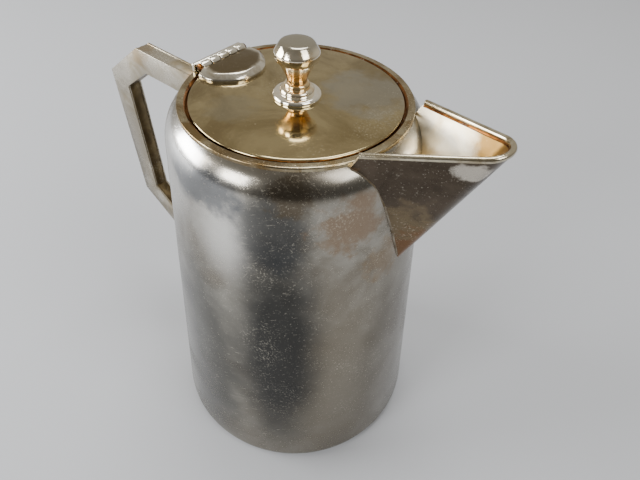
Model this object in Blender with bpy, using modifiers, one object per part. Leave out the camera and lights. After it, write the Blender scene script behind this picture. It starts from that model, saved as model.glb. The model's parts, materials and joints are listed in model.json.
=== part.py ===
"""Hotel coffee pot with a hinged lid, built up like the real plated sheet-metal pot.

Metres, +Z up.  The pot stands on z = 0, its spout points along +X and its handle along -X.
Every outline is measured from the pot's own upright axis, which the empty "pot_axis" carries.
"""
import math

import bmesh
import bpy
from mathutils import Matrix, Vector

MM = 0.001

# --- body: a spun, slightly conical cup with a rounded shoulder -------------------------------
BODY_FLARE = 11.8 * MM         # the wall's line spreads this much from the shoulder to the table
SHOULDER_STEP = 5.3 * MM       # from the mouth ring's outside to the top of the wall's outside
SHOULDER_Z = 145.2 * MM
SHOULDER_RISE = 14.3 * MM      # the shoulder is a quarter of an ellipse, cut off by the mouth ring
SHOULDER_INSET = 11.0 * MM
BOTTOM_CORNER = 4.7 * MM
BODY_SHEET = 1.0 * MM
FOOT_WIDTH = 10.5 * MM         # the wall is turned in under the pot as a flat standing ring
BASE_LAP = 8.0 * MM            # how far the base disc lies on that ring
BASE_SHEET = 1.0 * MM
BASE_CROWN = 2.8 * MM

# --- mouth ring and lid -----------------------------------------------------------------------
LID_RADIUS = 35.4 * MM
LID_SHEET = 1.0 * MM
LID_EDGE_DEPTH = 1.8 * MM
LID_EDGE_SHEET = 1.0 * MM
LID_PROUD = 0.15 * MM
LID_CLEARANCE = 0.4 * MM
RING_WIDTH = 3.1 * MM
RING_THICKNESS = 1.0 * MM
RING_NECK_DEPTH = 5.4 * MM
RING_NECK_SHEET = 0.8 * MM
LEDGE_WIDTH = 2.2 * MM
LEDGE_THICKNESS = 0.8 * MM
COLLAR_CLEARANCE = 0.8 * MM
COLLAR_SHEET = 0.8 * MM
COLLAR_DEPTH = 5.3 * MM

# --- knob, heights above the lid's top --------------------------------------------------------
KNOB_TOP = 18.2 * MM
KNOB_TOP_RADIUS = 6.1 * MM
KNOB_CROWN = 0.35 * MM
KNOB_GIRTH = 7.25 * MM
KNOB_GIRTH_Z = 14.8 * MM
KNOB_BAND_RADIUS = 6.8 * MM
KNOB_BAND_Z = 12.4 * MM
KNOB_NECK_RADIUS = 3.3 * MM
FLANGE_RADIUS = 8.1 * MM
FLANGE_HEIGHT = 1.3 * MM
STEP_RADIUS = 5.7 * MM
STEP_HEIGHT = 1.5 * MM
BEAD_RADIUS = 4.2 * MM
BEAD_HEIGHT = 1.5 * MM
STUD_RADIUS = 1.5 * MM
STUD_ENGAGEMENT = 4.6 * MM
WASHER_RADIUS = 5.0 * MM
WASHER_THICKNESS = 0.8 * MM
NUT_ACROSS_CORNERS = 6.4 * MM
NUT_HEIGHT = 2.4 * MM
STUD_PAST_NUT = 0.6 * MM

# --- spout: a cone-cornered V of sheet with a wire along its lip -------------------------------
SPOUT_SHEET = 1.2 * MM
SPOUT_FOOT_DROP = 37.7 * MM    # the point that both walls fan out from, below the shoulder
SPOUT_FOOT_DEPTH = 3.6 * MM    # that point lies this far inside the body's outside
SPOUT_BACK_LAP = 1.9 * MM      # the lip's two ends lie this far inside the mouth ring's outside
SPOUT_BACK_HALF_WIDTH = 17.8 * MM
SPOUT_PROJECTION = 26.3 * MM   # inner surface at the tip, out from the top of the wall
SPOUT_TIP_RADIUS = 6.4 * MM
SPOUT_HEEL_DROP = 6.0 * MM     # the walls slant back down to the shoulder from the lip's ends
SPOUT_HEEL_INSET = 3.2 * MM
LIP_BACK_RISE = 16.7 * MM      # top of the lip wire above the shoulder
LIP_TIP_RISE = 23.6 * MM
LIP_WIRE_RADIUS = 0.95 * MM
STRAINER_HOLE_RADIUS = 2.0 * MM
STRAINER_PITCH_Y = 5.6 * MM
STRAINER_PITCH_Z = 7.4 * MM
STRAINER_ROWS = 4
STRAINER_ABOVE_FOOT = 15.5 * MM

# --- handle: a mitred box of sheet.  Corners of its outside, as far out from the top of the
# wall's outside and as far below the shoulder as each size says -------------------------------
HANDLE_TOP_DROP = -3.7 * MM
HANDLE_TOP_FALL = 1.3 * MM     # the top arm falls this much from its corner to its root
HANDLE_TOP_OUT = 37.4 * MM
HANDLE_GRIP_TOP_OUT = 59.6 * MM
HANDLE_GRIP_TOP_DROP = 12.7 * MM
HANDLE_GRIP_LOW_OUT = 56.9 * MM
HANDLE_GRIP_LOW_DROP = 78.4 * MM
HANDLE_BOTTOM_OUT = 34.8 * MM
HANDLE_BOTTOM_DROP = 94.8 * MM
HANDLE_DEPTH = 9.8 * MM
HANDLE_WIDTH = 7.0 * MM
HANDLE_SHEET = 1.0 * MM

# --- hinge ------------------------------------------------------------------------------------
BARREL_RADIUS = 1.75 * MM
BARREL_BORE = 1.0 * MM
BARREL_LENGTH = 20.4 * MM
KNUCKLES = 5
BARREL_INSET = 1.3 * MM        # the hinge's axis lies this far inside the lid's edge
BARREL_LIFT = 0.15 * MM
PIN_RADIUS = 0.7 * MM
PIN_HEAD_RADIUS = 1.45 * MM
PIN_HEAD_HEIGHT = 0.7 * MM
LEAF_THICKNESS = 2.6 * MM
LEAF_EDGE = 0.6 * MM           # upright edge below the leaf's sloping flanks
LEAF_LENGTH = 12.8 * MM
LEAF_STRAIGHT = 4.6 * MM       # the leaf keeps its full width this far from the barrel
LEAF_BACK_HALF_WIDTH = 13.2 * MM
LEAF_FRONT_HALF_WIDTH = 4.8 * MM
LEAF_FLANK = 2.0 * MM
NOTCH_SIDE_CLEARANCE = 0.6 * MM
NOTCH_DEPTH = 3.8 * MM
BRACKET_DEPTH = 1.4 * MM
BRACKET_OVERHANG = 1.2 * MM    # past each end of the barrel
BRACKET_RISE = 0.75 * MM       # above the hinge's axis
BRACKET_BEVEL = 0.35 * MM

# --- how the mesh pieces meet -----------------------------------------------------------------
SOLDER_GAP = 0.3 * MM
STEPS = 64
SMALL_STEPS = 32
TINY_STEPS = 20
CORNER_STEPS = 5
MERGE = 0.00001

# --- sizes that follow from the ones above ----------------------------------------------------
RING_BORE = LID_RADIUS + LID_CLEARANCE
RING_RADIUS = RING_BORE + RING_WIDTH
SHOULDER_RADIUS = RING_RADIUS + SHOULDER_STEP
BASE_RADIUS = SHOULDER_RADIUS + BODY_FLARE
WALL_LEAN = math.atan(BODY_FLARE / SHOULDER_Z)
SHOULDER_START = math.atan(SHOULDER_RISE / SHOULDER_INSET * math.tan(WALL_LEAN))
SHOULDER_CENTRE_R = SHOULDER_RADIUS - SHOULDER_INSET * math.cos(SHOULDER_START)
SHOULDER_CENTRE_Z = SHOULDER_Z - SHOULDER_RISE * math.sin(SHOULDER_START)
SHOULDER_END = math.acos((RING_RADIUS - SHOULDER_CENTRE_R) / SHOULDER_INSET)
RIM_Z = SHOULDER_CENTRE_Z + SHOULDER_RISE * math.sin(SHOULDER_END)
RING_TOP = RIM_Z + SOLDER_GAP + RING_THICKNESS
LID_TOP = RING_TOP + LID_PROUD
LEDGE_TOP = LID_TOP - LID_EDGE_DEPTH - SOLDER_GAP
LEDGE_BORE = RING_BORE - LEDGE_WIDTH
COLLAR_RADIUS = LEDGE_BORE - COLLAR_CLEARANCE
BORE_RADIUS = STUD_RADIUS + SOLDER_GAP
HINGE_REACH = LID_RADIUS - BARREL_INSET
HINGE_Z = LID_TOP + BARREL_LIFT + BARREL_RADIUS
SPOUT_FOOT_Z = SHOULDER_Z - SPOUT_FOOT_DROP
SPOUT_BACK_REACH = RING_RADIUS - SPOUT_BACK_LAP
SPOUT_TIP_REACH = SHOULDER_RADIUS + SPOUT_PROJECTION
LIP_BACK_Z = SHOULDER_Z + LIP_BACK_RISE
LIP_SLOPE = (LIP_TIP_RISE - LIP_BACK_RISE) / (SPOUT_TIP_REACH - SPOUT_BACK_REACH)
SPOUT_REACH = SPOUT_TIP_REACH + SPOUT_SHEET / 2 + LIP_WIRE_RADIUS
AXIS_X = (SHOULDER_RADIUS + HANDLE_GRIP_TOP_OUT - SPOUT_REACH) / 2


def wall_radius(z):
    """Radius of the straight wall's outside at height z."""
    return BASE_RADIUS - z * math.tan(WALL_LEAN)


def clear_scene():
    """Remove whatever the scene holds."""
    for thing in list(bpy.data.objects):
        bpy.data.objects.remove(thing, do_unlink=True)


def new_collection(name):
    """A collection linked to the scene."""
    collection = bpy.data.collections.new(name)
    bpy.context.scene.collection.children.link(collection)
    return collection


def metal(name, colour, roughness):
    """A plated or bare metal material."""
    material = bpy.data.materials.new(name)
    material.use_nodes = True
    shader = material.node_tree.nodes["Principled BSDF"]
    shader.inputs["Base Color"].default_value = (*colour, 1.0)
    shader.inputs["Metallic"].default_value = 1.0
    shader.inputs["Roughness"].default_value = roughness
    return material


def place(thing, collection, parent, material=None):
    """Link an object, hang it on its empty and give it its material."""
    collection.objects.link(thing)
    thing.parent = parent
    if material is not None:
        thing.data.materials.clear()
        thing.data.materials.append(material)
    if parent is not None and parent.name == "lid_hinge":
        thing.location = -parent.location
    return thing


def as_cutter(thing):
    """Mark an object as a cutter: drawn as wire, never rendered."""
    thing.display_type = "WIRE"
    thing.hide_render = True
    return thing


def line_mesh(name, points, closed):
    """A bare outline in the XZ plane from (radius, height) pairs."""
    mesh = bpy.data.meshes.new(name)
    edges = [(i, i + 1) for i in range(len(points) - 1)]
    if closed:
        edges.append((len(points) - 1, 0))
    mesh.from_pydata([(r, 0.0, z) for r, z in points], edges, [])
    return mesh


def turned(name, points, steps=STEPS, closed=False):
    """A turned piece: an outline that runs down its outer side, spun about +Z."""
    thing = bpy.data.objects.new(name, line_mesh(name, points, closed))
    spin = thing.modifiers.new("spin", "SCREW")
    spin.angle = math.tau
    spin.steps = steps
    spin.render_steps = steps
    spin.use_merge_vertices = True
    spin.merge_threshold = MERGE
    spin.use_smooth_shade = True
    return thing


def thicken(thing, thickness, offset):
    """Give an open surface its sheet thickness."""
    shell = thing.modifiers.new("sheet", "SOLIDIFY")
    shell.thickness = thickness
    shell.offset = offset
    shell.use_even_offset = True
    return thing


def cut(thing, cutter, name="cut"):
    """Take a cutter away from a piece."""
    boolean = thing.modifiers.new(name, "BOOLEAN")
    boolean.operation = "DIFFERENCE"
    boolean.solver = "EXACT"
    boolean.object = cutter
    return thing


def bevel(thing, width, segments=2):
    """Round a piece's edges."""
    edge = thing.modifiers.new("edges", "BEVEL")
    edge.width = width
    edge.segments = segments
    edge.limit_method = "ANGLE"
    edge.angle_limit = math.radians(25)
    return thing


def box(name, low, high):
    """A box between two corners, given in the pot's own axes."""
    mesh = bpy.data.meshes.new(name)
    shape = bmesh.new()
    bmesh.ops.create_cube(shape, size=1.0)
    low, high = Vector(low), Vector(high)
    size = Matrix.Diagonal((*(high - low), 1.0))
    shape.transform(Matrix.Translation((low + high) / 2) @ size)
    shape.to_mesh(mesh)
    shape.free()
    return bpy.data.objects.new(name, mesh)


def plate(name, outline, thickness, y):
    """A flat plate cut to an outline of (x, z) pairs, standing upright with its middle at y."""
    curve = bpy.data.curves.new(name, "CURVE")
    curve.dimensions = "2D"
    curve.fill_mode = "BOTH"
    curve.extrude = thickness / 2
    spline = curve.splines.new("POLY")
    spline.points.add(len(outline) - 1)
    for point, (x, z) in zip(spline.points, outline):
        point.co = (x, z, 0.0, 1.0)
    spline.use_cyclic_u = True
    drawing = bpy.data.objects.new(name, curve)
    bpy.context.scene.collection.objects.link(drawing)
    upright = Matrix.Translation((0.0, y, 0.0)) @ Matrix.Rotation(math.pi / 2, 4, "X")
    return mesh_from_curve(drawing, upright)


def mesh_from_curve(drawing, matrix):
    """Turn a curve object into a welded mesh object, carried by a matrix into the pot's axes."""
    bpy.context.view_layer.update()
    graph = bpy.context.evaluated_depsgraph_get()
    mesh = bpy.data.meshes.new_from_object(drawing.evaluated_get(graph))
    name = drawing.name
    bpy.data.objects.remove(drawing, do_unlink=True)
    shape = bmesh.new()
    shape.from_mesh(mesh)
    bmesh.ops.remove_doubles(shape, verts=shape.verts, dist=MERGE)
    shape.transform(matrix)
    bmesh.ops.recalc_face_normals(shape, faces=shape.faces)
    shape.to_mesh(mesh)
    shape.free()
    mesh.name = name
    return bpy.data.objects.new(name, mesh)


def shoulder_points(offset=0.0):
    """The shoulder from the mouth ring down to the wall, moved outward by an offset."""
    points = []
    for i in range(CORNER_STEPS + 1):
        angle = SHOULDER_END + (SHOULDER_START - SHOULDER_END) * i / CORNER_STEPS
        points.append((SHOULDER_CENTRE_R + (SHOULDER_INSET + offset) * math.cos(angle),
                       SHOULDER_CENTRE_Z + (SHOULDER_RISE + offset) * math.sin(angle)))
    return points


def corner_centre():
    """Centre of the rounded corner between the wall and the standing ring."""
    return wall_radius(BOTTOM_CORNER) - BOTTOM_CORNER / math.cos(WALL_LEAN), BOTTOM_CORNER


def body_outline():
    """The body's outside from the mouth's edge to the inner edge of the standing ring."""
    centre_r, centre_z = corner_centre()
    neck = RING_BORE + RING_NECK_SHEET + SOLDER_GAP
    points = [(neck, RIM_Z)] + shoulder_points()
    for i in range(CORNER_STEPS + 1):
        angle = WALL_LEAN - (WALL_LEAN + math.pi / 2) * i / CORNER_STEPS
        points.append((centre_r + BOTTOM_CORNER * math.cos(angle),
                       centre_z + BOTTOM_CORNER * math.sin(angle)))
    points.append((centre_r - FOOT_WIDTH, 0.0))
    return points


def pot_body(strainer):
    """The spun cup, with the strainer holes behind the spout."""
    body = thicken(turned("pot_body", body_outline()), BODY_SHEET, -1.0)
    return cut(body, strainer, "strainer_holes")


def base_disc():
    """The bottom, a crowned disc soldered onto the standing ring."""
    centre_r, _ = corner_centre()
    flat = centre_r - FOOT_WIDTH + BASE_LAP
    bend = centre_r - FOOT_WIDTH - SOLDER_GAP
    low = BODY_SHEET + SOLDER_GAP
    crown = [(0.0, BASE_CROWN), (bend * 0.45, BASE_CROWN * 0.85), (bend * 0.85, BASE_CROWN * 0.3)]
    top = [(r, low + BASE_SHEET + rise) for r, rise in crown]
    under = [(r, low + rise) for r, rise in reversed(crown)]
    flange = [(bend, low + BASE_SHEET), (flat, low + BASE_SHEET), (flat, low), (bend, low)]
    return turned("base_disc", top + flange + under, steps=48)


def mouth_ring():
    """The ring round the mouth: a flange on the shoulder, a neck and a ledge for the lid."""
    neck = RING_BORE + RING_NECK_SHEET
    flange_z = RIM_Z + SOLDER_GAP
    edge = RING_THICKNESS * 0.4
    foot = RIM_Z - RING_NECK_DEPTH
    outline = [(RING_BORE, RING_TOP), (RING_RADIUS - edge, RING_TOP), (RING_RADIUS, RING_TOP - edge),
               (RING_RADIUS, flange_z), (neck, flange_z), (neck, foot), (RING_BORE, foot),
               (RING_BORE, LEDGE_TOP - LEDGE_THICKNESS), (LEDGE_BORE, LEDGE_TOP - LEDGE_THICKNESS),
               (LEDGE_BORE, LEDGE_TOP), (RING_BORE, LEDGE_TOP)]
    return turned("mouth_ring", outline, closed=True)


def body_clearance():
    """A solid a soldering gap larger than the body and mouth ring, to trim what meets them."""
    gap = SOLDER_GAP
    top = [(0.0, RING_TOP + gap), (RING_RADIUS + gap, RING_TOP + gap)]
    foot = [(wall_radius(0.0) + gap, 0.0), (0.0, 0.0)]
    return turned("body_clearance", top + shoulder_points(gap) + foot)


def strainer_cutter():
    """Round holes in a triangle that points down the spout's keel."""
    shape = bmesh.new()
    middle = (SHOULDER_RADIUS + BASE_RADIUS) / 2
    along_x = Matrix.Rotation(math.pi / 2, 4, "Y")
    for row in range(STRAINER_ROWS):
        z = SPOUT_FOOT_Z + STRAINER_ABOVE_FOOT + row * STRAINER_PITCH_Z
        for hole in range(row + 1):
            y = (hole - row / 2) * STRAINER_PITCH_Y
            bmesh.ops.create_cone(shape, cap_ends=True, segments=12, radius1=STRAINER_HOLE_RADIUS,
                                  radius2=STRAINER_HOLE_RADIUS, depth=middle / 2,
                                  matrix=Matrix.Translation((middle, y, z)) @ along_x)
    mesh = bpy.data.meshes.new("strainer_cutter")
    shape.to_mesh(mesh)
    shape.free()
    return bpy.data.objects.new("strainer_cutter", mesh)


def lip_z(reach):
    """Height of the lip wire's top at a distance from the pot's axis."""
    return LIP_BACK_Z + LIP_SLOPE * (reach - SPOUT_BACK_REACH)


def lip_path(outward):
    """Points round the lip from one end to the other, moved outward from the inner surface."""
    centre = SPOUT_TIP_REACH - SPOUT_TIP_RADIUS
    radius = SPOUT_TIP_RADIUS + outward
    back = Vector((SPOUT_BACK_REACH - centre, SPOUT_BACK_HALF_WIDTH))
    turn = math.atan2(back.y, back.x) - math.acos(SPOUT_TIP_RADIUS / back.length)
    end = back + outward * Vector((math.cos(turn), math.sin(turn)))
    arc_steps = 8
    half = [(centre + end.x, end.y)]
    for i in range(arc_steps // 2 + 1):
        angle = turn * (1.0 - 2.0 * i / arc_steps)
        half.append((centre + radius * math.cos(angle), radius * math.sin(angle)))
    return half + [(x, -y) for x, y in reversed(half[:-1])]


def spout_foot():
    """The point inside the body that the spout's walls fan out from."""
    return Vector((wall_radius(SPOUT_FOOT_Z) - SPOUT_FOOT_DEPTH, 0.0, SPOUT_FOOT_Z))


def spout(clearance):
    """Two flat walls that turn into each other round a cone, as bent from one sheet."""
    foot = spout_foot()
    drop = 2 * LIP_WIRE_RADIUS + SOLDER_GAP
    edge = [Vector((x, y, lip_z(x) - drop)) for x, y in lip_path(0.0)]
    normal = (edge[0] - foot).cross(edge[1] - foot)
    heel_x = SPOUT_BACK_REACH - SPOUT_HEEL_INSET
    heel_z = edge[0].z - SPOUT_HEEL_DROP
    heel_y = -(normal.x * (heel_x - foot.x) + normal.z * (heel_z - foot.z)) / normal.y
    path = [Vector((heel_x, heel_y, heel_z))] + edge + [Vector((heel_x, -heel_y, heel_z))]
    shape = bmesh.new()
    rows = []
    for share in (0.04, 0.35, 0.7, 1.0):
        rows.append([shape.verts.new(foot.lerp(point, share)) for point in path])
    for low, high in zip(rows, rows[1:]):
        for i in range(len(path) - 1):
            shape.faces.new((low[i + 1], low[i], high[i], high[i + 1]))
    bmesh.ops.recalc_face_normals(shape, faces=shape.faces)
    shape.normal_update()
    tip = rows[-1][len(path) // 2].link_faces[0]
    if tip.normal.x < 0.0:
        bmesh.ops.reverse_faces(shape, faces=shape.faces)
    mesh = bpy.data.meshes.new("spout")
    shape.to_mesh(mesh)
    shape.free()
    thing = thicken(bpy.data.objects.new("spout", mesh), SPOUT_SHEET, 1.0)
    return cut(thing, clearance, "seat")


def spout_lip():
    """The round wire soldered along the top of the spout's walls."""
    curve = bpy.data.curves.new("spout_lip", "CURVE")
    curve.dimensions = "3D"
    curve.bevel_depth = LIP_WIRE_RADIUS
    curve.bevel_resolution = 2
    curve.use_fill_caps = True
    curve.render_resolution_u = 0
    path = lip_path(SPOUT_SHEET / 2)
    spline = curve.splines.new("POLY")
    spline.points.add(len(path) - 1)
    for point, (x, y) in zip(spline.points, path):
        point.co = (x, y, lip_z(x) - LIP_WIRE_RADIUS, 1.0)
    drawing = bpy.data.objects.new("spout_lip", curve)
    bpy.context.scene.collection.objects.link(drawing)
    return mesh_from_curve(drawing, Matrix.Identity(4))


def handle_path(inset):
    """The handle's side outline from the body round to the body, moved inward by a distance."""
    root = SHOULDER_RADIUS / 2
    corners = [(root, HANDLE_TOP_DROP + HANDLE_TOP_FALL),
               (SHOULDER_RADIUS + HANDLE_TOP_OUT, HANDLE_TOP_DROP),
               (SHOULDER_RADIUS + HANDLE_GRIP_TOP_OUT, HANDLE_GRIP_TOP_DROP),
               (SHOULDER_RADIUS + HANDLE_GRIP_LOW_OUT, HANDLE_GRIP_LOW_DROP),
               (SHOULDER_RADIUS + HANDLE_BOTTOM_OUT, HANDLE_BOTTOM_DROP),
               (root, HANDLE_BOTTOM_DROP)]
    corners = [Vector((-x, SHOULDER_Z - drop)) for x, drop in corners]
    sides = [(end - start).normalized() for start, end in zip(corners, corners[1:])]
    inward = [Vector((-side.y, side.x)) for side in sides]
    points = [corners[0] + inset * inward[0]]
    for corner, before, after in zip(corners[1:-1], inward, inward[1:]):
        mitre = (before + after).normalized()
        points.append(corner + mitre * inset / mitre.dot(before))
    points.append(corners[-1] + inset * inward[-1])
    return [(point.x, point.y) for point in points]


def handle_piece(name, outer, inner, width, y, clearance):
    """One sheet of the handle, between two insets from its outside."""
    outline = handle_path(outer) + list(reversed(handle_path(inner)))
    return cut(plate(name, outline, width, y), clearance, "seat")


def handle(clearance):
    """The four sheets of the handle: two cheeks and the bands between them."""
    cheek_y = (HANDLE_WIDTH - HANDLE_SHEET) / 2
    band = HANDLE_WIDTH - 2 * (HANDLE_SHEET + SOLDER_GAP)
    depth = HANDLE_DEPTH
    return [handle_piece("handle_cheek_left", 0.0, depth, HANDLE_SHEET, cheek_y, clearance),
            handle_piece("handle_cheek_right", 0.0, depth, HANDLE_SHEET, -cheek_y, clearance),
            handle_piece("handle_outer_band", 0.0, HANDLE_SHEET, band, 0.0, clearance),
            handle_piece("handle_inner_band", depth - HANDLE_SHEET, depth, band, 0.0, clearance)]


def knuckle(index):
    """One tube of the hinge's barrel."""
    length = (BARREL_LENGTH - (KNUCKLES - 1) * SOLDER_GAP) / KNUCKLES
    start = -BARREL_LENGTH / 2 + index * (length + SOLDER_GAP)
    edge = BARREL_RADIUS * 0.12
    outline = [(BARREL_BORE, length), (BARREL_RADIUS - edge, length), (BARREL_RADIUS, length - edge),
               (BARREL_RADIUS, edge), (BARREL_RADIUS - edge, 0.0), (BARREL_BORE, 0.0)]
    tube = turned(f"hinge_knuckle_{index + 1}", outline, steps=TINY_STEPS, closed=True)
    return laid_down(tube, start)


def laid_down(thing, start):
    """Turn a small piece about the hinge's line instead of the pot's axis."""
    thing.rotation_euler = (-math.pi / 2, 0.0, 0.0)
    thing["start"] = start
    return thing


def hinge_pin():
    """The pin, with a domed head at each end."""
    half = BARREL_LENGTH / 2 + SOLDER_GAP
    end = half + PIN_HEAD_HEIGHT
    dome = PIN_HEAD_HEIGHT * 0.45
    outline = [(0.0, end), (PIN_HEAD_RADIUS * 0.7, end - dome * 0.5), (PIN_HEAD_RADIUS, end - dome),
               (PIN_HEAD_RADIUS, half), (PIN_RADIUS, half)]
    outline += [(r, -z) for r, z in reversed(outline)]
    return laid_down(turned("hinge_pin", outline, steps=TINY_STEPS), 0.0)


def hinge_bracket():
    """The upright plate on the mouth ring that carries the pot's knuckles."""
    front = HINGE_REACH + BARREL_RADIUS + SOLDER_GAP
    half = BARREL_LENGTH / 2 + BRACKET_OVERHANG
    low = (-front - BRACKET_DEPTH, -half, RING_TOP + SOLDER_GAP)
    high = (-front, half, HINGE_Z + BRACKET_RISE)
    return bevel(box("hinge_bracket", low, high), BRACKET_BEVEL)


def hinge_leaf():
    """The tapered leaf on the lid, with sloping flanks, that carries the lid's knuckles."""
    back = -(HINGE_REACH - BARREL_RADIUS - SOLDER_GAP)
    side = [(back, LEAF_BACK_HALF_WIDTH), (back + LEAF_STRAIGHT, LEAF_BACK_HALF_WIDTH),
            (back + LEAF_LENGTH, LEAF_FRONT_HALF_WIDTH)]
    outline = [(x, -y) for x, y in side] + list(reversed(side))
    shape = bmesh.new()
    base = shape.faces.new([shape.verts.new((x, y, LID_TOP + SOLDER_GAP)) for x, y in outline])
    grown = bmesh.ops.extrude_face_region(shape, geom=[base])["geom"]
    top = [item for item in grown if isinstance(item, bmesh.types.BMFace)]
    bmesh.ops.translate(shape, verts=top[0].verts, vec=(0.0, 0.0, LEAF_EDGE))
    bmesh.ops.inset_region(shape, faces=top, thickness=LEAF_FLANK, use_even_offset=True)
    bmesh.ops.translate(shape, verts=top[0].verts, vec=(0.0, 0.0, LEAF_THICKNESS - LEAF_EDGE))
    for vertex in top[0].verts:
        if vertex.co.x < back + LEAF_STRAIGHT / 2:
            vertex.co.x = back
    bmesh.ops.recalc_face_normals(shape, faces=shape.faces)
    mesh = bpy.data.meshes.new("hinge_leaf")
    shape.to_mesh(mesh)
    shape.free()
    return bpy.data.objects.new("hinge_leaf", mesh)


def hinge_notch():
    """The notch in the lid's edge under the barrel."""
    half = BARREL_LENGTH / 2 + NOTCH_SIDE_CLEARANCE
    inner = LID_RADIUS - NOTCH_DEPTH
    return box("hinge_notch", (-2 * LID_RADIUS, -half, LID_TOP - 2 * LID_EDGE_DEPTH),
               (-inner, half, LID_TOP + LID_EDGE_DEPTH))


def lid_plate(notch):
    """The flat lid, with its edge turned down and a notch for the hinge."""
    under = LID_TOP - LID_SHEET
    low = LID_TOP - LID_EDGE_DEPTH
    edge = LID_SHEET * 0.7
    inside = LID_RADIUS - LID_EDGE_SHEET
    outline = [(BORE_RADIUS, LID_TOP)]
    for i in range(4):
        angle = math.pi / 2 * (1 - i / 3)
        outline.append((LID_RADIUS - edge * (1 - math.cos(angle)),
                        LID_TOP - edge * (1 - math.sin(angle))))
    outline += [(LID_RADIUS, low), (inside, low), (inside, under), (BORE_RADIUS, under)]
    return cut(turned("lid_plate", outline, closed=True), notch, "hinge_notch")


def lid_collar():
    """The ring under the lid that keeps it centred in the mouth."""
    top = LID_TOP - LID_SHEET - SOLDER_GAP
    inside = COLLAR_RADIUS - COLLAR_SHEET
    outline = [(inside, top), (COLLAR_RADIUS, top), (COLLAR_RADIUS, top - COLLAR_DEPTH),
               (inside, top - COLLAR_DEPTH)]
    return turned("lid_collar", outline, closed=True)


def ring_outline(low, height, radius):
    """A ring's section, bored for the stud, with a quarter-round shoulder on its outside."""
    outline = [(BORE_RADIUS, low + height)]
    for i in range(5):
        angle = math.pi / 2 * (1 - i / 4)
        outline.append((radius - height * (1 - math.cos(angle)), low + height * math.sin(angle)))
    return outline + [(BORE_RADIUS, low)]


def knob_rings():
    """The three stepped rings that the knob stands on, widest at the bottom."""
    rings = (("knob_flange", FLANGE_HEIGHT, FLANGE_RADIUS), ("knob_step", STEP_HEIGHT, STEP_RADIUS),
             ("knob_bead", BEAD_HEIGHT, BEAD_RADIUS))
    pieces = []
    low = LID_TOP
    for name, height, radius in rings:
        low += SOLDER_GAP
        outline = ring_outline(low, height, radius)
        pieces.append(turned(name, outline, steps=SMALL_STEPS, closed=True))
        low += height
    return pieces, low + SOLDER_GAP


def knob(low):
    """The knob: a flat-topped button with a sloping band over a tapering neck."""
    top = LID_TOP + KNOB_TOP
    socket = low + STUD_ENGAGEMENT + SOLDER_GAP
    neck = low + KNOB_NECK_RADIUS * 0.25
    outline = [(0.0, top), (KNOB_TOP_RADIUS * 0.6, top - KNOB_CROWN * 0.4),
               (KNOB_TOP_RADIUS, top - KNOB_CROWN), (KNOB_GIRTH, LID_TOP + KNOB_GIRTH_Z),
               (KNOB_BAND_RADIUS, LID_TOP + KNOB_BAND_Z), (KNOB_NECK_RADIUS, neck),
               (KNOB_NECK_RADIUS, low), (BORE_RADIUS, low), (BORE_RADIUS, socket), (0.0, socket)]
    return turned("knob", outline, steps=SMALL_STEPS)


def lid_fixing(low):
    """Stud, washer and nut that hold the knob through the lid."""
    washer_top = LID_TOP - LID_SHEET - SOLDER_GAP
    washer_low = washer_top - WASHER_THICKNESS
    nut_top = washer_low - SOLDER_GAP
    nut_low = nut_top - NUT_HEIGHT
    end = nut_low - STUD_PAST_NUT
    stud_top = low + STUD_ENGAGEMENT
    stud = [(0.0, stud_top), (STUD_RADIUS, stud_top), (STUD_RADIUS, end), (0.0, end)]
    washer = [(BORE_RADIUS, washer_top), (WASHER_RADIUS, washer_top), (WASHER_RADIUS, washer_low),
              (BORE_RADIUS, washer_low)]
    across = NUT_ACROSS_CORNERS / 2
    hexagon = [(0.0, nut_top), (across, nut_top), (across, nut_low), (0.0, nut_low)]
    bore = [(0.0, nut_top + NUT_HEIGHT), (BORE_RADIUS, nut_top + NUT_HEIGHT),
            (BORE_RADIUS, nut_low - NUT_HEIGHT), (0.0, nut_low - NUT_HEIGHT)]
    nut_bore = turned("nut_bore", bore, steps=TINY_STEPS)
    nut = cut(turned("knob_nut", hexagon, steps=6), nut_bore, "bore")
    return [turned("knob_stud", stud, steps=TINY_STEPS),
            turned("knob_washer", washer, steps=SMALL_STEPS, closed=True), nut], nut_bore


def empty(name, location, parent, collection):
    """An empty that carries other objects."""
    thing = bpy.data.objects.new(name, None)
    collection.objects.link(thing)
    thing.parent = parent
    thing.location = location
    return thing


def place_barrel_piece(thing, collection, parent, material):
    """Put a piece that is turned about the hinge's line on that line."""
    place(thing, collection, parent, material)
    start = thing["start"]
    del thing["start"]
    on_pot = Vector((-HINGE_REACH, start, HINGE_Z))
    thing.location = on_pot if parent.name == "pot_axis" else on_pot - parent.location


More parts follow.
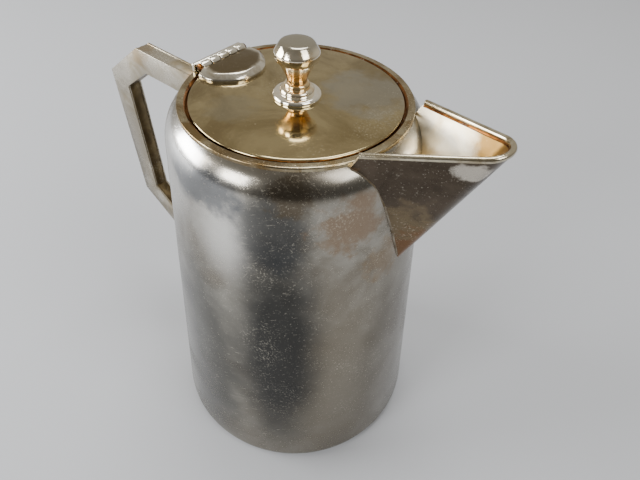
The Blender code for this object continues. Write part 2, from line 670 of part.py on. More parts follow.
def main():
    """Build the pot."""
    clear_scene()
    parts = new_collection("coffee_pot")
    cutters = new_collection("cutters")
    body_plate = metal("tarnished_silver_plate", (0.55, 0.54, 0.50), 0.28)
    lid_silver = metal("polished_plate_olive", (0.48, 0.44, 0.34), 0.12)
    handle_plate = metal("satin_plate", (0.62, 0.60, 0.55), 0.38)
    bright = metal("bright_plate", (0.78, 0.76, 0.70), 0.14)
    inside = metal("tinned_inside", (0.50, 0.50, 0.48), 0.40)
    steel = metal("nickel_steel", (0.60, 0.60, 0.60), 0.30)

    axis = empty("pot_axis", (AXIS_X, 0.0, 0.0), None, parts)
    hinge = empty("lid_hinge", (-HINGE_REACH, 0.0, HINGE_Z), axis, parts)

    clearance = as_cutter(place(body_clearance(), cutters, axis))
    strainer = as_cutter(place(strainer_cutter(), cutters, axis))
    notch = as_cutter(place(hinge_notch(), cutters, hinge))

    place(pot_body(strainer), parts, axis, body_plate)
    place(base_disc(), parts, axis, inside)
    place(mouth_ring(), parts, axis, bright)
    place(spout(clearance), parts, axis, body_plate)
    place(spout_lip(), parts, axis, bright)
    for piece in handle(clearance):
        place(piece, parts, axis, handle_plate)
    place(hinge_bracket(), parts, axis, bright)
    place_barrel_piece(hinge_pin(), parts, axis, bright)
    for index in range(KNUCKLES):
        owner = axis if index % 2 == 0 else hinge
        place_barrel_piece(knuckle(index), parts, owner, bright)

    place(hinge_leaf(), parts, hinge, bright)
    place(lid_plate(notch), parts, hinge, lid_silver)
    place(lid_collar(), parts, hinge, inside)
    rings, knob_low = knob_rings()
    for ring in rings:
        place(ring, parts, hinge, bright)
    place(knob(knob_low), parts, hinge, bright)
    fixings, nut_bore = lid_fixing(knob_low)
    as_cutter(place(nut_bore, cutters, hinge))
    for fixing in fixings:
        place(fixing, parts, hinge, steel)


if __name__ == "__main__":
    main()
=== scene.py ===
"""Looks of a plated hotel coffee pot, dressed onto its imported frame.

Every size is in metres and every place comes from the frame.  Radii are measured from the
pot's upright axis, heights from the table.
"""
import json
import logging
import math
from collections.abc import Callable
from dataclasses import dataclass, field
from enum import Enum

import bmesh
import bpy
from mathutils import Matrix, Vector


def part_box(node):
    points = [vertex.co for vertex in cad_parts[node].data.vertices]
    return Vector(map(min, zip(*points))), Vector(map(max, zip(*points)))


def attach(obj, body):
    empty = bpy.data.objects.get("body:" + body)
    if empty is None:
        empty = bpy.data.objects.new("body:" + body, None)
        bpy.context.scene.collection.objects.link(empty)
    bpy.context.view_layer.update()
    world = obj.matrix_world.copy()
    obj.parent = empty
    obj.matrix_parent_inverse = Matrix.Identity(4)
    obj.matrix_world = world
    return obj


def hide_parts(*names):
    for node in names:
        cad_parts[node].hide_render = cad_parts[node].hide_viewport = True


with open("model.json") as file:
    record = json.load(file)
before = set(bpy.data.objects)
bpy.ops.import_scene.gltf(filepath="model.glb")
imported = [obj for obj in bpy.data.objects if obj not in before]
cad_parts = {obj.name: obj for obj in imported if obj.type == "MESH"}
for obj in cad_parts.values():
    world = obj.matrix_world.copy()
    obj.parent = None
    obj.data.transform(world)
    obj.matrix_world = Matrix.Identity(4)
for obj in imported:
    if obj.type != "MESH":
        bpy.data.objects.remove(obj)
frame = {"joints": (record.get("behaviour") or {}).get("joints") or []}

LOG = logging.getLogger("coffee_pot")
MM = 0.001
# Points closer than this are one point.
WELD = 1e-6
# How far one piece sinks into the next, so that no two faces lie in the same place.
SEAT = 0.02 * MM
# What the frame leaves open between solids that touch on the real pot.
FRAME_GAP = 0.3 * MM
# Halvings when a line's crossing with a wall is looked for.
HALVINGS = 40

Pair = tuple[float, float]
Profile = list[Pair]
Point = tuple[float, float, float]


class Body(Enum):
    """The moving bodies of the frame."""

    POT = "pot"
    LID = "lid"


class Slot(Enum):
    """The record's material slots."""

    TARNISHED = "tarnished_plate"
    OLIVE = "olive_plate"
    SATIN = "satin_plate"
    BRIGHT = "bright_plate"
    INSIDE = "inside_plate"
    STEEL = "nickel_steel"


# ---------------------------------------------------------------------------------------------
# Finishes
# ---------------------------------------------------------------------------------------------
def linear(hex_colour: str) -> tuple[float, float, float, float]:
    """Turn an sRGB hex colour into the linear colour a shader takes.

    Args:
        hex_colour: Six hex digits, such as "C8C2B4".

    Returns:
        Linear red, green and blue, and an alpha of one.
    """
    channels = [int(hex_colour[i:i + 2], 16) / 255 for i in (0, 2, 4)]
    curved = [c / 12.92 if c <= 0.04045 else ((c + 0.055) / 1.055) ** 2.4 for c in channels]
    return (*curved, 1.0)


def add_node(tree: bpy.types.NodeTree, kind: str, settings: dict | None = None,
             values: dict | None = None, links: dict | None = None) -> bpy.types.Node:
    """Add one shader node with its settings and links.

    Args:
        tree: The node tree to add to.
        kind: The node's type name.
        settings: Attributes of the node and their values.
        values: Input sockets, by name or index, and the constants they take.
        links: Input sockets, by name or index, and the output sockets that feed them.

    Returns:
        The new node.
    """
    node = tree.nodes.new(kind)
    for name, value in (settings or {}).items():
        setattr(node, name, value)
    for socket, value in (values or {}).items():
        node.inputs[socket].default_value = value
    for socket, output in (links or {}).items():
        tree.links.new(output, node.inputs[socket])
    return node


@dataclass(frozen=True)
class Patch:
    """A stained or rubbed area on a piece, or painted light on it, with a ragged edge.

    It lies round a centre in the pot's frame, out to its reach.  A squash above one pulls it
    in along that direction and one below it stretches it.  Grain is the width of the tongues
    of its edge, and ragged is their length as a share of the reach.  It comes up to its
    strength over the share of the reach called fade.
    """

    centre: Point
    reach: float
    colour: str
    strength: float = 0.8
    grain: float = 9 * MM
    squash: Point = (1.0, 1.0, 1.0)
    ragged: float = 0.8
    fade: float = 0.55


# Half the range of the clouds' noise over which a cloud comes up.
CLOUD_EDGE = 0.16
# How much rougher the metal is in a cloud, in a speck and in a scratch.
CLOUD_DULLING, SPECK_DULLING, SCRATCH_DULLING = 0.10, 0.22, 0.10
# Specks gather in drifts of this size, which add this much to the specks' own noise.
DRIFT, DRIFT_WEIGHT = 18 * MM, 0.45
# Where the noise starts to be a speck and where it is a whole one, and how far specks show.
SPECK_START, SPECK_FULL, SPECK_GAIN = 0.855, 0.95, 2.0
# Where the noise starts to be a scratch and where it is a whole one, the turn and the stretch
# of each direction that scratches run in, and how deep they are.
SCRATCH_START, SCRATCH_FULL = 0.63, 0.73
SCRATCH_RUNS = ((0.75, (1.0, 1.0, 16.0)), (-0.55, (10.0, 1.0, 1.0)))
SCRATCH_DEPTH = 0.02 * MM


@dataclass(frozen=True)
class PlateFinish:
    """Silver plate on nickel silver, rolled and spun, then used, rubbed and left to tarnish.

    Sulphide tones the metal in clouds, hair scratches come from years of cloths, and fine
    pits stay pale where polish has dried.
    """

    name: str
    clean: str
    toned: str
    roughness: float
    cloud: float = 26 * MM
    toning: float = 0.5
    speck: float = 1.1 * MM
    speck_colour: str = "E9E2D0"
    speck_share: float = 0.25
    scratch: float = 0.9 * MM
    scratch_depth: float = 0.25
    scratch_share: float = 0.0
    dent: float = 30 * MM
    dent_depth: float = 0.5
    patches: tuple[Patch, ...] = ()

    def make(self) -> bpy.types.Material:
        """Build the material.

        Returns:
            A metal whose colour, roughness and relief follow the piece's own place.
        """
        material = bpy.data.materials.new(self.name)
        material.use_nodes = True
        tree = material.node_tree
        tree.nodes.clear()
        place = add_node(tree, "ShaderNodeTexCoord").outputs["Object"]
        cloud = self.clouds(tree, place)
        colour = add_node(tree, "ShaderNodeMix", {"data_type": "RGBA"},
                          {6: linear(self.clean), 7: linear(self.toned)}, {0: cloud}).outputs[2]
        for patch in self.patches:
            colour = self.stain(tree, place, colour, patch)
        specks = self.specks(tree, place)
        colour = add_node(tree, "ShaderNodeMix", {"data_type": "RGBA"},
                          {7: linear(self.speck_colour)}, {0: specks, 6: colour}).outputs[2]
        scratches = self.scratches(tree, place)
        if self.scratch_share:
            shown = add_node(tree, "ShaderNodeMath", {"operation": "MULTIPLY"},
                             {1: self.scratch_share}, {0: scratches}).outputs[0]
            colour = add_node(tree, "ShaderNodeMix", {"data_type": "RGBA"},
                              {7: linear(self.speck_colour)}, {0: shown, 6: colour}).outputs[2]
        rough = add_node(tree, "ShaderNodeMath", {"operation": "MULTIPLY_ADD"},
                         {1: CLOUD_DULLING, 2: self.roughness}, {0: cloud}).outputs[0]
        rough = add_node(tree, "ShaderNodeMath", {"operation": "MULTIPLY_ADD"},
                         {1: SPECK_DULLING}, {0: specks, 2: rough}).outputs[0]
        rough = add_node(tree, "ShaderNodeMath", {"operation": "MULTIPLY_ADD"},
                         {1: SCRATCH_DULLING}, {0: scratches, 2: rough}).outputs[0]
        shader = add_node(tree, "ShaderNodeBsdfPrincipled", None, {"Metallic": 1.0},
                          {"Base Color": colour, "Roughness": rough,
                           "Normal": self.relief(tree, place, scratches)})
        add_node(tree, "ShaderNodeOutputMaterial", None, None, {0: shader.outputs[0]})
        return material

    def clouds(self, tree: bpy.types.NodeTree, place: bpy.types.NodeSocket) -> bpy.types.NodeSocket:
        """Draw broad clouds of toning.

        Args:
            tree: The node tree.
            place: The piece's own coordinates.

        Returns:
            How toned the metal is, from 0 for clean to 1 for toned.
        """
        noise = add_node(tree, "ShaderNodeTexNoise", None,
                         {"Scale": 1 / self.cloud, "Detail": 7.0, "Roughness": 0.62,
                          "Distortion": 0.7}, {"Vector": place}).outputs[0]
        middle = 1 - self.toning
        return add_node(tree, "ShaderNodeMapRange", {"interpolation_type": "SMOOTHSTEP"},
                        {1: middle - CLOUD_EDGE, 2: middle + CLOUD_EDGE},
                        {0: noise}).outputs[0]

    def stain(self, tree: bpy.types.NodeTree, place: bpy.types.NodeSocket,
              colour: bpy.types.NodeSocket, patch: Patch) -> bpy.types.NodeSocket:
        """Lay one patch over the colour so far.

        Args:
            tree: The node tree.
            place: The piece's own coordinates.
            colour: The colour under the patch.
            patch: The patch to lay.

        Returns:
            The new colour.
        """
        offset = add_node(tree, "ShaderNodeVectorMath", {"operation": "SUBTRACT"},
                          {1: patch.centre}, {0: place}).outputs[0]
        pulled = add_node(tree, "ShaderNodeVectorMath", {"operation": "MULTIPLY"},
                          {1: patch.squash}, {0: offset}).outputs[0]
        distance = add_node(tree, "ShaderNodeVectorMath", {"operation": "LENGTH"}, None,
                            {0: pulled}).outputs["Value"]
        ragged = add_node(tree, "ShaderNodeTexNoise", None,
                          {"Scale": 1 / patch.grain, "Detail": 5.0, "Roughness": 0.6},
                          {"Vector": place}).outputs[0]
        edge = add_node(tree, "ShaderNodeMath", {"operation": "MULTIPLY_ADD"},
                        {1: patch.reach * patch.ragged * 2, 2: -patch.reach * patch.ragged},
                        {0: ragged}).outputs[0]
        reached = add_node(tree, "ShaderNodeMath", {"operation": "ADD"}, None,
                           {0: distance, 1: edge}).outputs[0]
        share = add_node(tree, "ShaderNodeMapRange", {"interpolation_type": "SMOOTHSTEP"},
                         {1: patch.reach, 2: patch.reach * (1 - patch.fade), 3: 0.0,
                          4: patch.strength},
                         {0: reached}).outputs[0]
        return add_node(tree, "ShaderNodeMix", {"data_type": "RGBA"},
                        {7: linear(patch.colour)}, {0: share, 6: colour}).outputs[2]

    def specks(self, tree: bpy.types.NodeTree, place: bpy.types.NodeSocket) -> bpy.types.NodeSocket:
        """Draw fine pale specks, a little coarser than the real ones so that they show.

        Args:
            tree: The node tree.
            place: The piece's own coordinates.

        Returns:
            How far a speck covers the metal.
        """
        fine = add_node(tree, "ShaderNodeTexNoise", None,
                        {"Scale": 1 / self.speck, "Detail": 3.0, "Roughness": 0.6},
                        {"Vector": place}).outputs[0]
        drift = add_node(tree, "ShaderNodeTexNoise", None,
                         {"Scale": 1 / DRIFT, "Detail": 2.0}, {"Vector": place}).outputs[0]
        both = add_node(tree, "ShaderNodeMath", {"operation": "MULTIPLY_ADD"},
                        {1: DRIFT_WEIGHT}, {0: drift, 2: fine}).outputs[0]
        return add_node(tree, "ShaderNodeMapRange", None,
                        {1: SPECK_START, 2: SPECK_FULL, 3: 0.0,
                         4: self.speck_share * SPECK_GAIN},
                        {0: both}).outputs[0]

    def scratches(self, tree: bpy.types.NodeTree,
                  place: bpy.types.NodeSocket) -> bpy.types.NodeSocket:
        """Draw hair scratches in two directions, coarser than real ones so that they show.

        Each direction is a stretched noise cut down to thin lines.

        Args:
            tree: The node tree.
            place: The piece's own coordinates.

        Returns:
            1 on a scratch and 0 beside it.
        """
        total = None
        for turn, stretch in SCRATCH_RUNS:
            turned = add_node(tree, "ShaderNodeMapping", {"vector_type": "TEXTURE"},
                              {"Rotation": (turn, turn * 0.5, 0.3), "Scale": stretch},
                              {"Vector": place}).outputs[0]
            hair = add_node(tree, "ShaderNodeTexNoise", None,
                            {"Scale": 1 / self.scratch, "Detail": 2.0, "Roughness": 0.7},
                            {"Vector": turned}).outputs[0]
            line = add_node(tree, "ShaderNodeMapRange", None,
                            {1: SCRATCH_START, 2: SCRATCH_FULL}, {0: hair}).outputs[0]
            total = line if total is None else add_node(
                tree, "ShaderNodeMath", {"operation": "MAXIMUM"}, None,
                {0: total, 1: line}).outputs[0]
        return total

    def relief(self, tree: bpy.types.NodeTree, place: bpy.types.NodeSocket,
               scratches: bpy.types.NodeSocket) -> bpy.types.NodeSocket:
        """Raise the surface: shallow dents of hand-worked sheet under the scratches.

        Args:
            tree: The node tree.
            place: The piece's own coordinates.
            scratches: Where the scratches run.

        Returns:
            The bent normal.
        """
        dents = add_node(tree, "ShaderNodeTexNoise", None,
                         {"Scale": 1 / self.dent, "Detail": 2.0, "Roughness": 0.4},
                         {"Vector": place}).outputs[0]
        broad = add_node(tree, "ShaderNodeBump", None,
                         {"Strength": 1.0, "Distance": self.dent_depth * MM},
                         {"Height": dents}).outputs[0]
        return add_node(tree, "ShaderNodeBump", None,
                        {"Strength": self.scratch_depth, "Distance": SCRATCH_DEPTH},
                        {"Height": scratches, "Normal": broad}).outputs[0]


# ---------------------------------------------------------------------------------------------
# Making pieces
# ---------------------------------------------------------------------------------------------
@dataclass(frozen=True)
class Layout:
    """Where the frame puts the lines that everything is built from."""

    axis_x: float
    lid_top: float
    ring_top: float
    hinge_x: float
    hinge_z: float

    @classmethod
    def from_frame(cls) -> "Layout":
        """Read the lines off the frame's nodes and its hinge.

        Returns:
            The layout.
        """
        ring_low, ring_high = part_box("mouth_ring")
        hinge = frame["joints"][0]["pos_m"]
        return cls((ring_low.x + ring_high.x) / 2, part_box("lid_plate")[1].z, ring_high.z,
                   hinge[0], hinge[2])


def mesh_object(name: str, shape: bmesh.types.BMesh) -> bpy.types.Object:
    """Turn a bmesh into an object at the origin and free the bmesh.

    Args:
        name: The object's name.
        shape: The bmesh.

    Returns:
        The new object, linked to the scene.
    """
    mesh = bpy.data.meshes.new(name)
    shape.to_mesh(mesh)
    shape.free()
    thing = bpy.data.objects.new(name, mesh)
    bpy.context.scene.collection.objects.link(thing)
    return thing


def baked(thing: bpy.types.Object) -> bpy.types.Object:
    """Replace an object's mesh by what its modifiers make of it.

    Args:
        thing: The object, with its modifiers on.

    Returns:
        The same object, with a plain mesh and no modifiers.
    """
    bpy.context.view_layer.update()
    graph = bpy.context.evaluated_depsgraph_get()
    mesh = bpy.data.meshes.new_from_object(thing.evaluated_get(graph))
    thing.modifiers.clear()
    old = thing.data
    thing.data = mesh
    bpy.data.meshes.remove(old)
    mesh.name = thing.name
    return thing


def cut_away(thing: bpy.types.Object, cutter: bpy.types.Object) -> bpy.types.Object:
    """Cut an object with another one, which is then thrown away.

    Args:
        thing: The object to cut.
        cutter: The object that cuts it.

    Returns:
        The object, cut.
    """
    cut = thing.modifiers.new("cut", "BOOLEAN")
    cut.operation = "DIFFERENCE"
    cut.solver = "EXACT"
    cut.object = cutter
    baked(thing)
    bpy.data.objects.remove(cutter, do_unlink=True)
    return thing


def corner_round(radius: float, top: float, edge: float, steps: int = 6) -> Profile:
    """Round off the upper outer corner of an outline with a quarter of a circle.

    Args:
        radius: The outline's outer radius.
        top: The outline's top.
        edge: The corner's own radius.
        steps: Stretches that the quarter circle is made of.

    Returns:
        Radius and height pairs, from the top outward and down.
    """
    angles = [math.pi / 2 * (1 - i / steps) for i in range(steps + 1)]
    return [(radius - edge * (1 - math.cos(angle)), top - edge * (1 - math.sin(angle)))
            for angle in angles]


def crossing(start: Vector, end: Vector, past: Callable[[Vector], bool]) -> Vector:
    """Close in on the place where a straight line passes something.

    Args:
        start: An end of the line that is short of it.
        end: The line's other end.
        past: Whether a point is past it.

    Returns:
        The first point past it, or the line's end if no point is.
    """
    low, high = 0.0, 1.0
    for _ in range(HALVINGS):
        share = (low + high) / 2
        low, high = (low, share) if past(start.lerp(end, share)) else (share, high)
    return start.lerp(end, high)


def spun(outline: Profile, axis_x: float, steps: int = 128,
         closed: bool = True) -> bmesh.types.BMesh:
    """Spin an outline about an upright axis.

    Args:
        outline: Radius and height pairs.
        axis_x: Where the axis stands.
        steps: Segments round the turn.
        closed: Whether the outline joins its own start, as a ring's section does.

    Returns:
        A closed shape with its faces pointing out.
    """
    shape = bmesh.new()
    verts = [shape.verts.new((radius, 0.0, height)) for radius, height in outline]
    pairs = list(zip(verts, verts[1:]))
    if closed:
        pairs.append((verts[-1], verts[0]))
    edges = [shape.edges.new(pair) for pair in pairs]
    bmesh.ops.spin(shape, geom=verts + edges, axis=(0, 0, 1), cent=(0, 0, 0),
                   angle=math.tau, steps=steps, use_merge=True)
    bmesh.ops.remove_doubles(shape, verts=shape.verts, dist=WELD)
    bmesh.ops.dissolve_degenerate(shape, edges=shape.edges, dist=WELD)
    bmesh.ops.recalc_face_normals(shape, faces=shape.faces)
    bmesh.ops.translate(shape, verts=shape.verts, vec=(axis_x, 0.0, 0.0))
    return shape


def block(low: Point, high: Point, round_edges: float = 0.0) -> bmesh.types.BMesh:
    """A box between two corners.

    Args:
        low: The corner with the smallest coordinates.
        high: The corner with the largest coordinates.
        round_edges: Radius of the rounded edges, or none.

    Returns:
        A closed shape.
    """
    shape = bmesh.new()
    bmesh.ops.create_cube(shape, size=1.0)
    low_corner, high_corner = Vector(low), Vector(high)
    size = Matrix.Diagonal((*(high_corner - low_corner), 1.0))
    shape.transform(Matrix.Translation((low_corner + high_corner) / 2) @ size)
    if round_edges:
        bmesh.ops.bevel(shape, geom=shape.edges[:], offset=round_edges, segments=3, profile=0.5,
                        affect="EDGES", material=-1)
    return shape


def slab(outline: list[Vector], along: Vector, round_edges: float = 0.0) -> bmesh.types.BMesh:
    """A flat outline given a thickness.

    Args:
        outline: Corners of a flat face, in order.
        along: The direction and length it is extruded by.
        round_edges: Radius of the rounded edges, or none.

    Returns:
        A closed shape.
    """
    shape = bmesh.new()
    face = shape.faces.new([shape.verts.new(point) for point in outline])
    grown = bmesh.ops.extrude_face_region(shape, geom=[face])["geom"]
    moved = [item for item in grown if isinstance(item, bmesh.types.BMVert)]
    bmesh.ops.translate(shape, verts=moved, vec=along)
    bmesh.ops.recalc_face_normals(shape, faces=shape.faces)
    if round_edges:
        bmesh.ops.bevel(shape, geom=shape.edges[:], offset=round_edges, segments=2, profile=0.5,
                        affect="EDGES", material=-1, clamp_overlap=True)
    return shape


def wire(name: str, path: list[Vector], radius: float, closed: bool = False) -> bpy.types.Object:
    """A round wire or a bead of solder along a path.

    Args:
        name: The object's name.
        path: Points the middle of the wire follows.
        radius: The wire's radius.
        closed: Whether the wire joins its own start.

    Returns:
        A mesh object.
    """
    curve = bpy.data.curves.new(name, "CURVE")
    curve.dimensions = "3D"
    curve.bevel_depth = radius
    curve.bevel_resolution = 4
    curve.use_fill_caps = not closed
    spline = curve.splines.new("POLY")
    spline.points.add(len(path) - 1)
    for knot, point in zip(spline.points, path):
        knot.co = (*point, 1.0)
    spline.use_cyclic_u = closed
    drawing = bpy.data.objects.new(name, curve)
    bpy.context.scene.collection.objects.link(drawing)
    bpy.context.view_layer.update()
    graph = bpy.context.evaluated_depsgraph_get()
    mesh = bpy.data.meshes.new_from_object(drawing.evaluated_get(graph))
    bpy.data.objects.remove(drawing, do_unlink=True)
    shape = bmesh.new()
    shape.from_mesh(mesh)
    bpy.data.meshes.remove(mesh)
    bmesh.ops.remove_doubles(shape, verts=shape.verts, dist=WELD)
    bmesh.ops.recalc_face_normals(shape, faces=shape.faces)
    return mesh_object(name, shape)


@dataclass
class Workshop:
    """Gives finished pieces their material, their shading and their body, and hides the nodes they
    stand for.
    """

    layout: Layout
    materials: dict[str, bpy.types.Material] = field(default_factory=dict)

    def material(self, finish: PlateFinish) -> bpy.types.Material:
        """Give the finish's material, which is made once.

        Args:
            finish: The finish.

        Returns:
            Its material.
        """
        if finish.name not in self.materials:
            self.materials[finish.name] = finish.make()
        return self.materials[finish.name]

    def show(self, thing: bpy.types.Object, body: Body, finish: PlateFinish,
             replaces: tuple[str, ...] = (), sharp: float = 35.0) -> bpy.types.Object:
        """Finish a piece.

        Args:
            thing: A mesh object, in place in the row frame.
            body: The body it rides on.
            finish: What its surface is.
            replaces: The frame's nodes that it stands for.
            sharp: Edges that turn by more than this many degrees stay crisp.

        Returns:
            The same object.
        """
        thing.data.materials.clear()
        thing.data.materials.append(self.material(finish))
        thing.data.shade_smooth()
        thing.data.set_sharp_from_angle(angle=math.radians(sharp))
        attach(thing, body.value)
        if replaces:
            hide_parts(*replaces)
        LOG.info("piece %s rides on %s", thing.name, body.value)
        return thing


# ---------------------------------------------------------------------------------------------
# The finishes of this pot
# ---------------------------------------------------------------------------------------------
# Spun sheet, plated and hand polished: mottled grey, warm brown towards the spout, fine scratches
# and clusters of pale specks.  Painted light lies over it: painted highlights on the left
# shoulder and upper wall and at the spout's root, painted bluish and blue-grey reflections high
# on the left and the front, and painted shade in a dark band down the front and on the lower wall.
BODY_PLATE = PlateFinish(
    name="spun_silver_plate_tarnished", clean="A39F95", toned="837C70", roughness=0.16,
    cloud=26 * MM, toning=0.50, speck=0.7 * MM, speck_share=0.12, scratch=0.8 * MM,
    scratch_share=0.20, dent=38 * MM, dent_depth=0.55,
    patches=(
        # Painted highlight: a pale place on the left shoulder and the upper left wall.
        Patch((-0.006, -0.046, 0.147), 25 * MM, "CFCDC8", 0.85, 14 * MM, (1.0, 1.0, 0.8), 0.25),
        # Painted highlight: a soft pale band down the upper wall, left of the front.
        Patch((0.0245, -0.048, 0.134), 17 * MM, "F4F2EC", 0.90, 14 * MM, (1.0, 1.0, 0.60), 0.10,
              0.95),
        # Painted shade: the whole wall a little darker and browner towards the bottom.
        Patch((0.0159, 0.0, -0.020), 130 * MM, "7A7262", 0.38, 12 * MM, (0.3, 0.3, 1.0), 0.10),
        # Painted shade: the lower wall on the left darker.
        Patch((0.0040, -0.052, 0.058), 34 * MM, "484742", 0.85, 12 * MM, (1.0, 1.0, 0.45), 0.25),
        # Painted shade, this patch and the next: the lower wall towards the spout darker
        # grey-brown.
        Patch((0.0660, -0.030, 0.060), 32 * MM, "7C7465", 0.75, 12 * MM, (1.0, 1.0, 0.45), 0.25),
        Patch((0.0780, 0.004, 0.065), 34 * MM, "645D51", 0.80, 12 * MM, (1.0, 1.0, 0.45), 0.25),
        # Painted shade: a dark band down the front of the wall.
        Patch((0.0465, -0.0490, 0.090), 27 * MM, "353534", 0.95, 14 * MM, (1.1, 1.1, 0.28), 0.12),
        # Painted reflection: a dark blue-grey place high on the front of the wall.
        Patch((0.0400, -0.0410, 0.136), 16 * MM, "3A3D40", 0.65, 9 * MM, (1.0, 1.0, 0.8), 0.4),
        Patch((0.0580, -0.022, 0.139), 14 * MM, "80603E", 0.60, 5 * MM, ragged=0.9),
        Patch((0.0640, -0.010, 0.118), 11 * MM, "8A7150", 0.45, 5 * MM, ragged=0.9),
        # Painted reflection: a dark bluish place on the left shoulder.
        Patch((0.0140, -0.044, 0.146), 12 * MM, "434B56", 0.65, 8 * MM, (0.6, 1.0, 1.4)),
        # Painted highlight: a near-white place on the left shoulder.
        Patch((0.0040, -0.038, 0.154), 13 * MM, "FAF9F6", 0.85, 10 * MM, (1.0, 1.0, 1.2), 0.2,
              0.8),
        # Painted highlight: a cream-white place on the shoulder at the spout's root.
        Patch((0.0560, 0.005, 0.150), 9 * MM, "F3EBDC", 0.80, 6 * MM, ragged=0.3, fade=0.8),
        Patch((0.0420, -0.034, 0.1505), 9 * MM, "5C4E38", 0.6, 4 * MM),
    ))
# Rolled sheet bent to a V and soldered on: dark brown toning, rust brown at the foot and one
# pale painted highlight on the near wall under the lip, near the tip.
SPOUT_PLATE = PlateFinish(
    name="bent_silver_plate_tarnished", clean="5A4F43", toned="433A30", roughness=0.20,
    cloud=18 * MM, toning=0.5, speck=0.8 * MM, speck_share=0.14, dent=22 * MM, dent_depth=0.5,
    patches=(
        Patch((0.0660, -0.006, 0.124), 16 * MM, "8C7B5E", 0.60, 6 * MM, (1.0, 1.2, 0.7)),
        Patch((0.0660, 0.0, 0.118), 12 * MM, "7A5230", 0.70, 4 * MM, (1.0, 1.6, 0.5)),
        # Painted highlight: a pale place on the near wall under the lip, close to the tip.
        Patch((0.0828, -0.0075, 0.1615), 5.6 * MM, "E9E1D2", 0.62, 4 * MM, (0.70, 1.0, 1.35),
              0.60, 0.30),
        Patch((0.0480, -0.017, 0.156), 5 * MM, "B98A54", 0.6, 4 * MM),
    ))
# The same sheet inside, where the cloth doesn't reach: pale cream, gold towards the tip and
# brown along the solder under the lip.
SPOUT_LINING = PlateFinish(
    name="bent_silver_plate_cream_inside", clean="FFF7E4", toned="EAD9B4", roughness=0.30,
    cloud=13 * MM, toning=0.45, speck=0.7 * MM, speck_share=0.10, dent=16 * MM, dent_depth=0.45,
    patches=(
        Patch((0.0830, 0.006, 0.163), 13 * MM, "8C671C", 0.93, 5 * MM, ragged=0.25),
    ))
# Mirror-polished lid: an even olive film with paler bluish clouds and few specks.
LID_PLATE = PlateFinish(
    name="polished_silver_plate_olive_tarnish", clean="B8A880", toned="8C7C58", roughness=0.075,
    cloud=22 * MM, toning=0.5, speck=0.7 * MM, speck_share=0.11, scratch=0.7 * MM,
    dent=30 * MM, dent_depth=0.35,
    patches=(
        Patch((0.0330, 0.016, 0.157), 18 * MM, "A9A79C", 0.60, 8 * MM),
        Patch((0.0060, -0.020, 0.157), 10 * MM, "A39C86", 0.45, 7 * MM),
    ))
# Drawn wire and edges that hands rub bright, yellow-brown where the cloth misses.
RIM_PLATE = PlateFinish(
    name="rubbed_silver_plate_rim", clean="D2C9B2", toned="8C7C5C", roughness=0.14,
    cloud=12 * MM, toning=0.42, speck=0.8 * MM, speck_share=0.1)
# The turned mouth ring: dull golden brown, darker in patches.
MOUTH_PLATE = PlateFinish(
    name="turned_silver_plate_mouth_ring", clean="B3A88C", toned="78633F", roughness=0.18,
    cloud=11 * MM, toning=0.50, speck=0.7 * MM, speck_share=0.1,
    patches=(Patch((0.030, -0.036, 0.157), 17 * MM, "5E4A2E", 0.65, 6 * MM, ragged=0.5),))
# The seat of the lid, where coffee and polish collect: amber to dark brown.
THROAT_PLATE = PlateFinish(
    name="stained_silver_plate_ledge", clean="8A5A2C", toned="3E2410", roughness=0.30,
    cloud=8 * MM, toning=0.5, speck_share=0.1)
# Folded handle sheet: satin pale grey with honey-brown corners.
HANDLE_PLATE = PlateFinish(
    name="satin_silver_plate_handle", clean="BFB8A9", toned="94866A", roughness=0.26,
    cloud=16 * MM, toning=0.42, speck=0.7 * MM, speck_share=0.12, dent=24 * MM, dent_depth=0.3,
    patches=(
        Patch((-0.066, 0.0, 0.147), 9 * MM, "9A8360", 0.6, 5 * MM),
        Patch((-0.030, 0.0, 0.146), 9 * MM, "B08C5C", 0.6, 5 * MM),
        Patch((-0.083, -0.0035, 0.098), 16 * MM, "8F8674", 0.75, 6 * MM, (1.0, 1.0, 0.40)),
    ))
# The band the fingers close round: browner and duller than the outside.
GRIP_PLATE = PlateFinish(
    name="satin_silver_plate_grip_brown", clean="7A6B4E", toned="4E4230", roughness=0.32,
    cloud=10 * MM, toning=0.5, speck=0.7 * MM, speck_share=0.1, dent=18 * MM, dent_depth=0.3)
# Drawn and cast hinge parts: bright on every edge, a little golden between.
HINGE_PLATE = PlateFinish(
    name="cast_silver_plate_hinge", clean="F4EFE2", toned="B9AC90", roughness=0.13,
    cloud=6 * MM, toning=0.38, speck=0.6 * MM, speck_share=0.12, dent=5 * MM, dent_depth=0.25)
# The cast leaf: bright flanks round a flat that has toned olive brown.
LEAF_PLATE = PlateFinish(
    name="cast_silver_plate_leaf", clean="E6E0D2", toned="A89B80", roughness=0.13,
    cloud=6 * MM, toning=0.40, speck=0.6 * MM, speck_share=0.12, dent=5 * MM, dent_depth=0.25,
    patches=(Patch((-0.0128, 0.0, 0.1602), 10.4 * MM, "6A5B3E", 0.95, 3 * MM, (1.10, 0.87, 9.0),
                   0.10, 0.20),))
# Turned and buffed knob: nearly white on its rings and girth, amber under the girth.
KNOB_PLATE = PlateFinish(
    name="turned_silver_plate_knob", clean="FBF0D8", toned="DDBB7E", roughness=0.09,
    cloud=9 * MM, toning=0.42, speck=0.6 * MM, speck_share=0.1, dent=9 * MM, dent_depth=0.12,
    patches=(
        Patch((0.0159, 0.0, 0.1765), 9 * MM, "A6A295", 0.9, 4 * MM, (0.6, 0.6, 2.4), 0.2),
        Patch((0.0159, 0.0, 0.1655), 8 * MM, "E9AE55", 0.85, 4 * MM, (0.9, 0.9, 2.2), 0.3),
        Patch((0.0159, 0.0, 0.1570), 14 * MM, "FFFCF2", 0.9, 4 * MM, (0.9, 0.9, 3.2), 0.2),
    ))
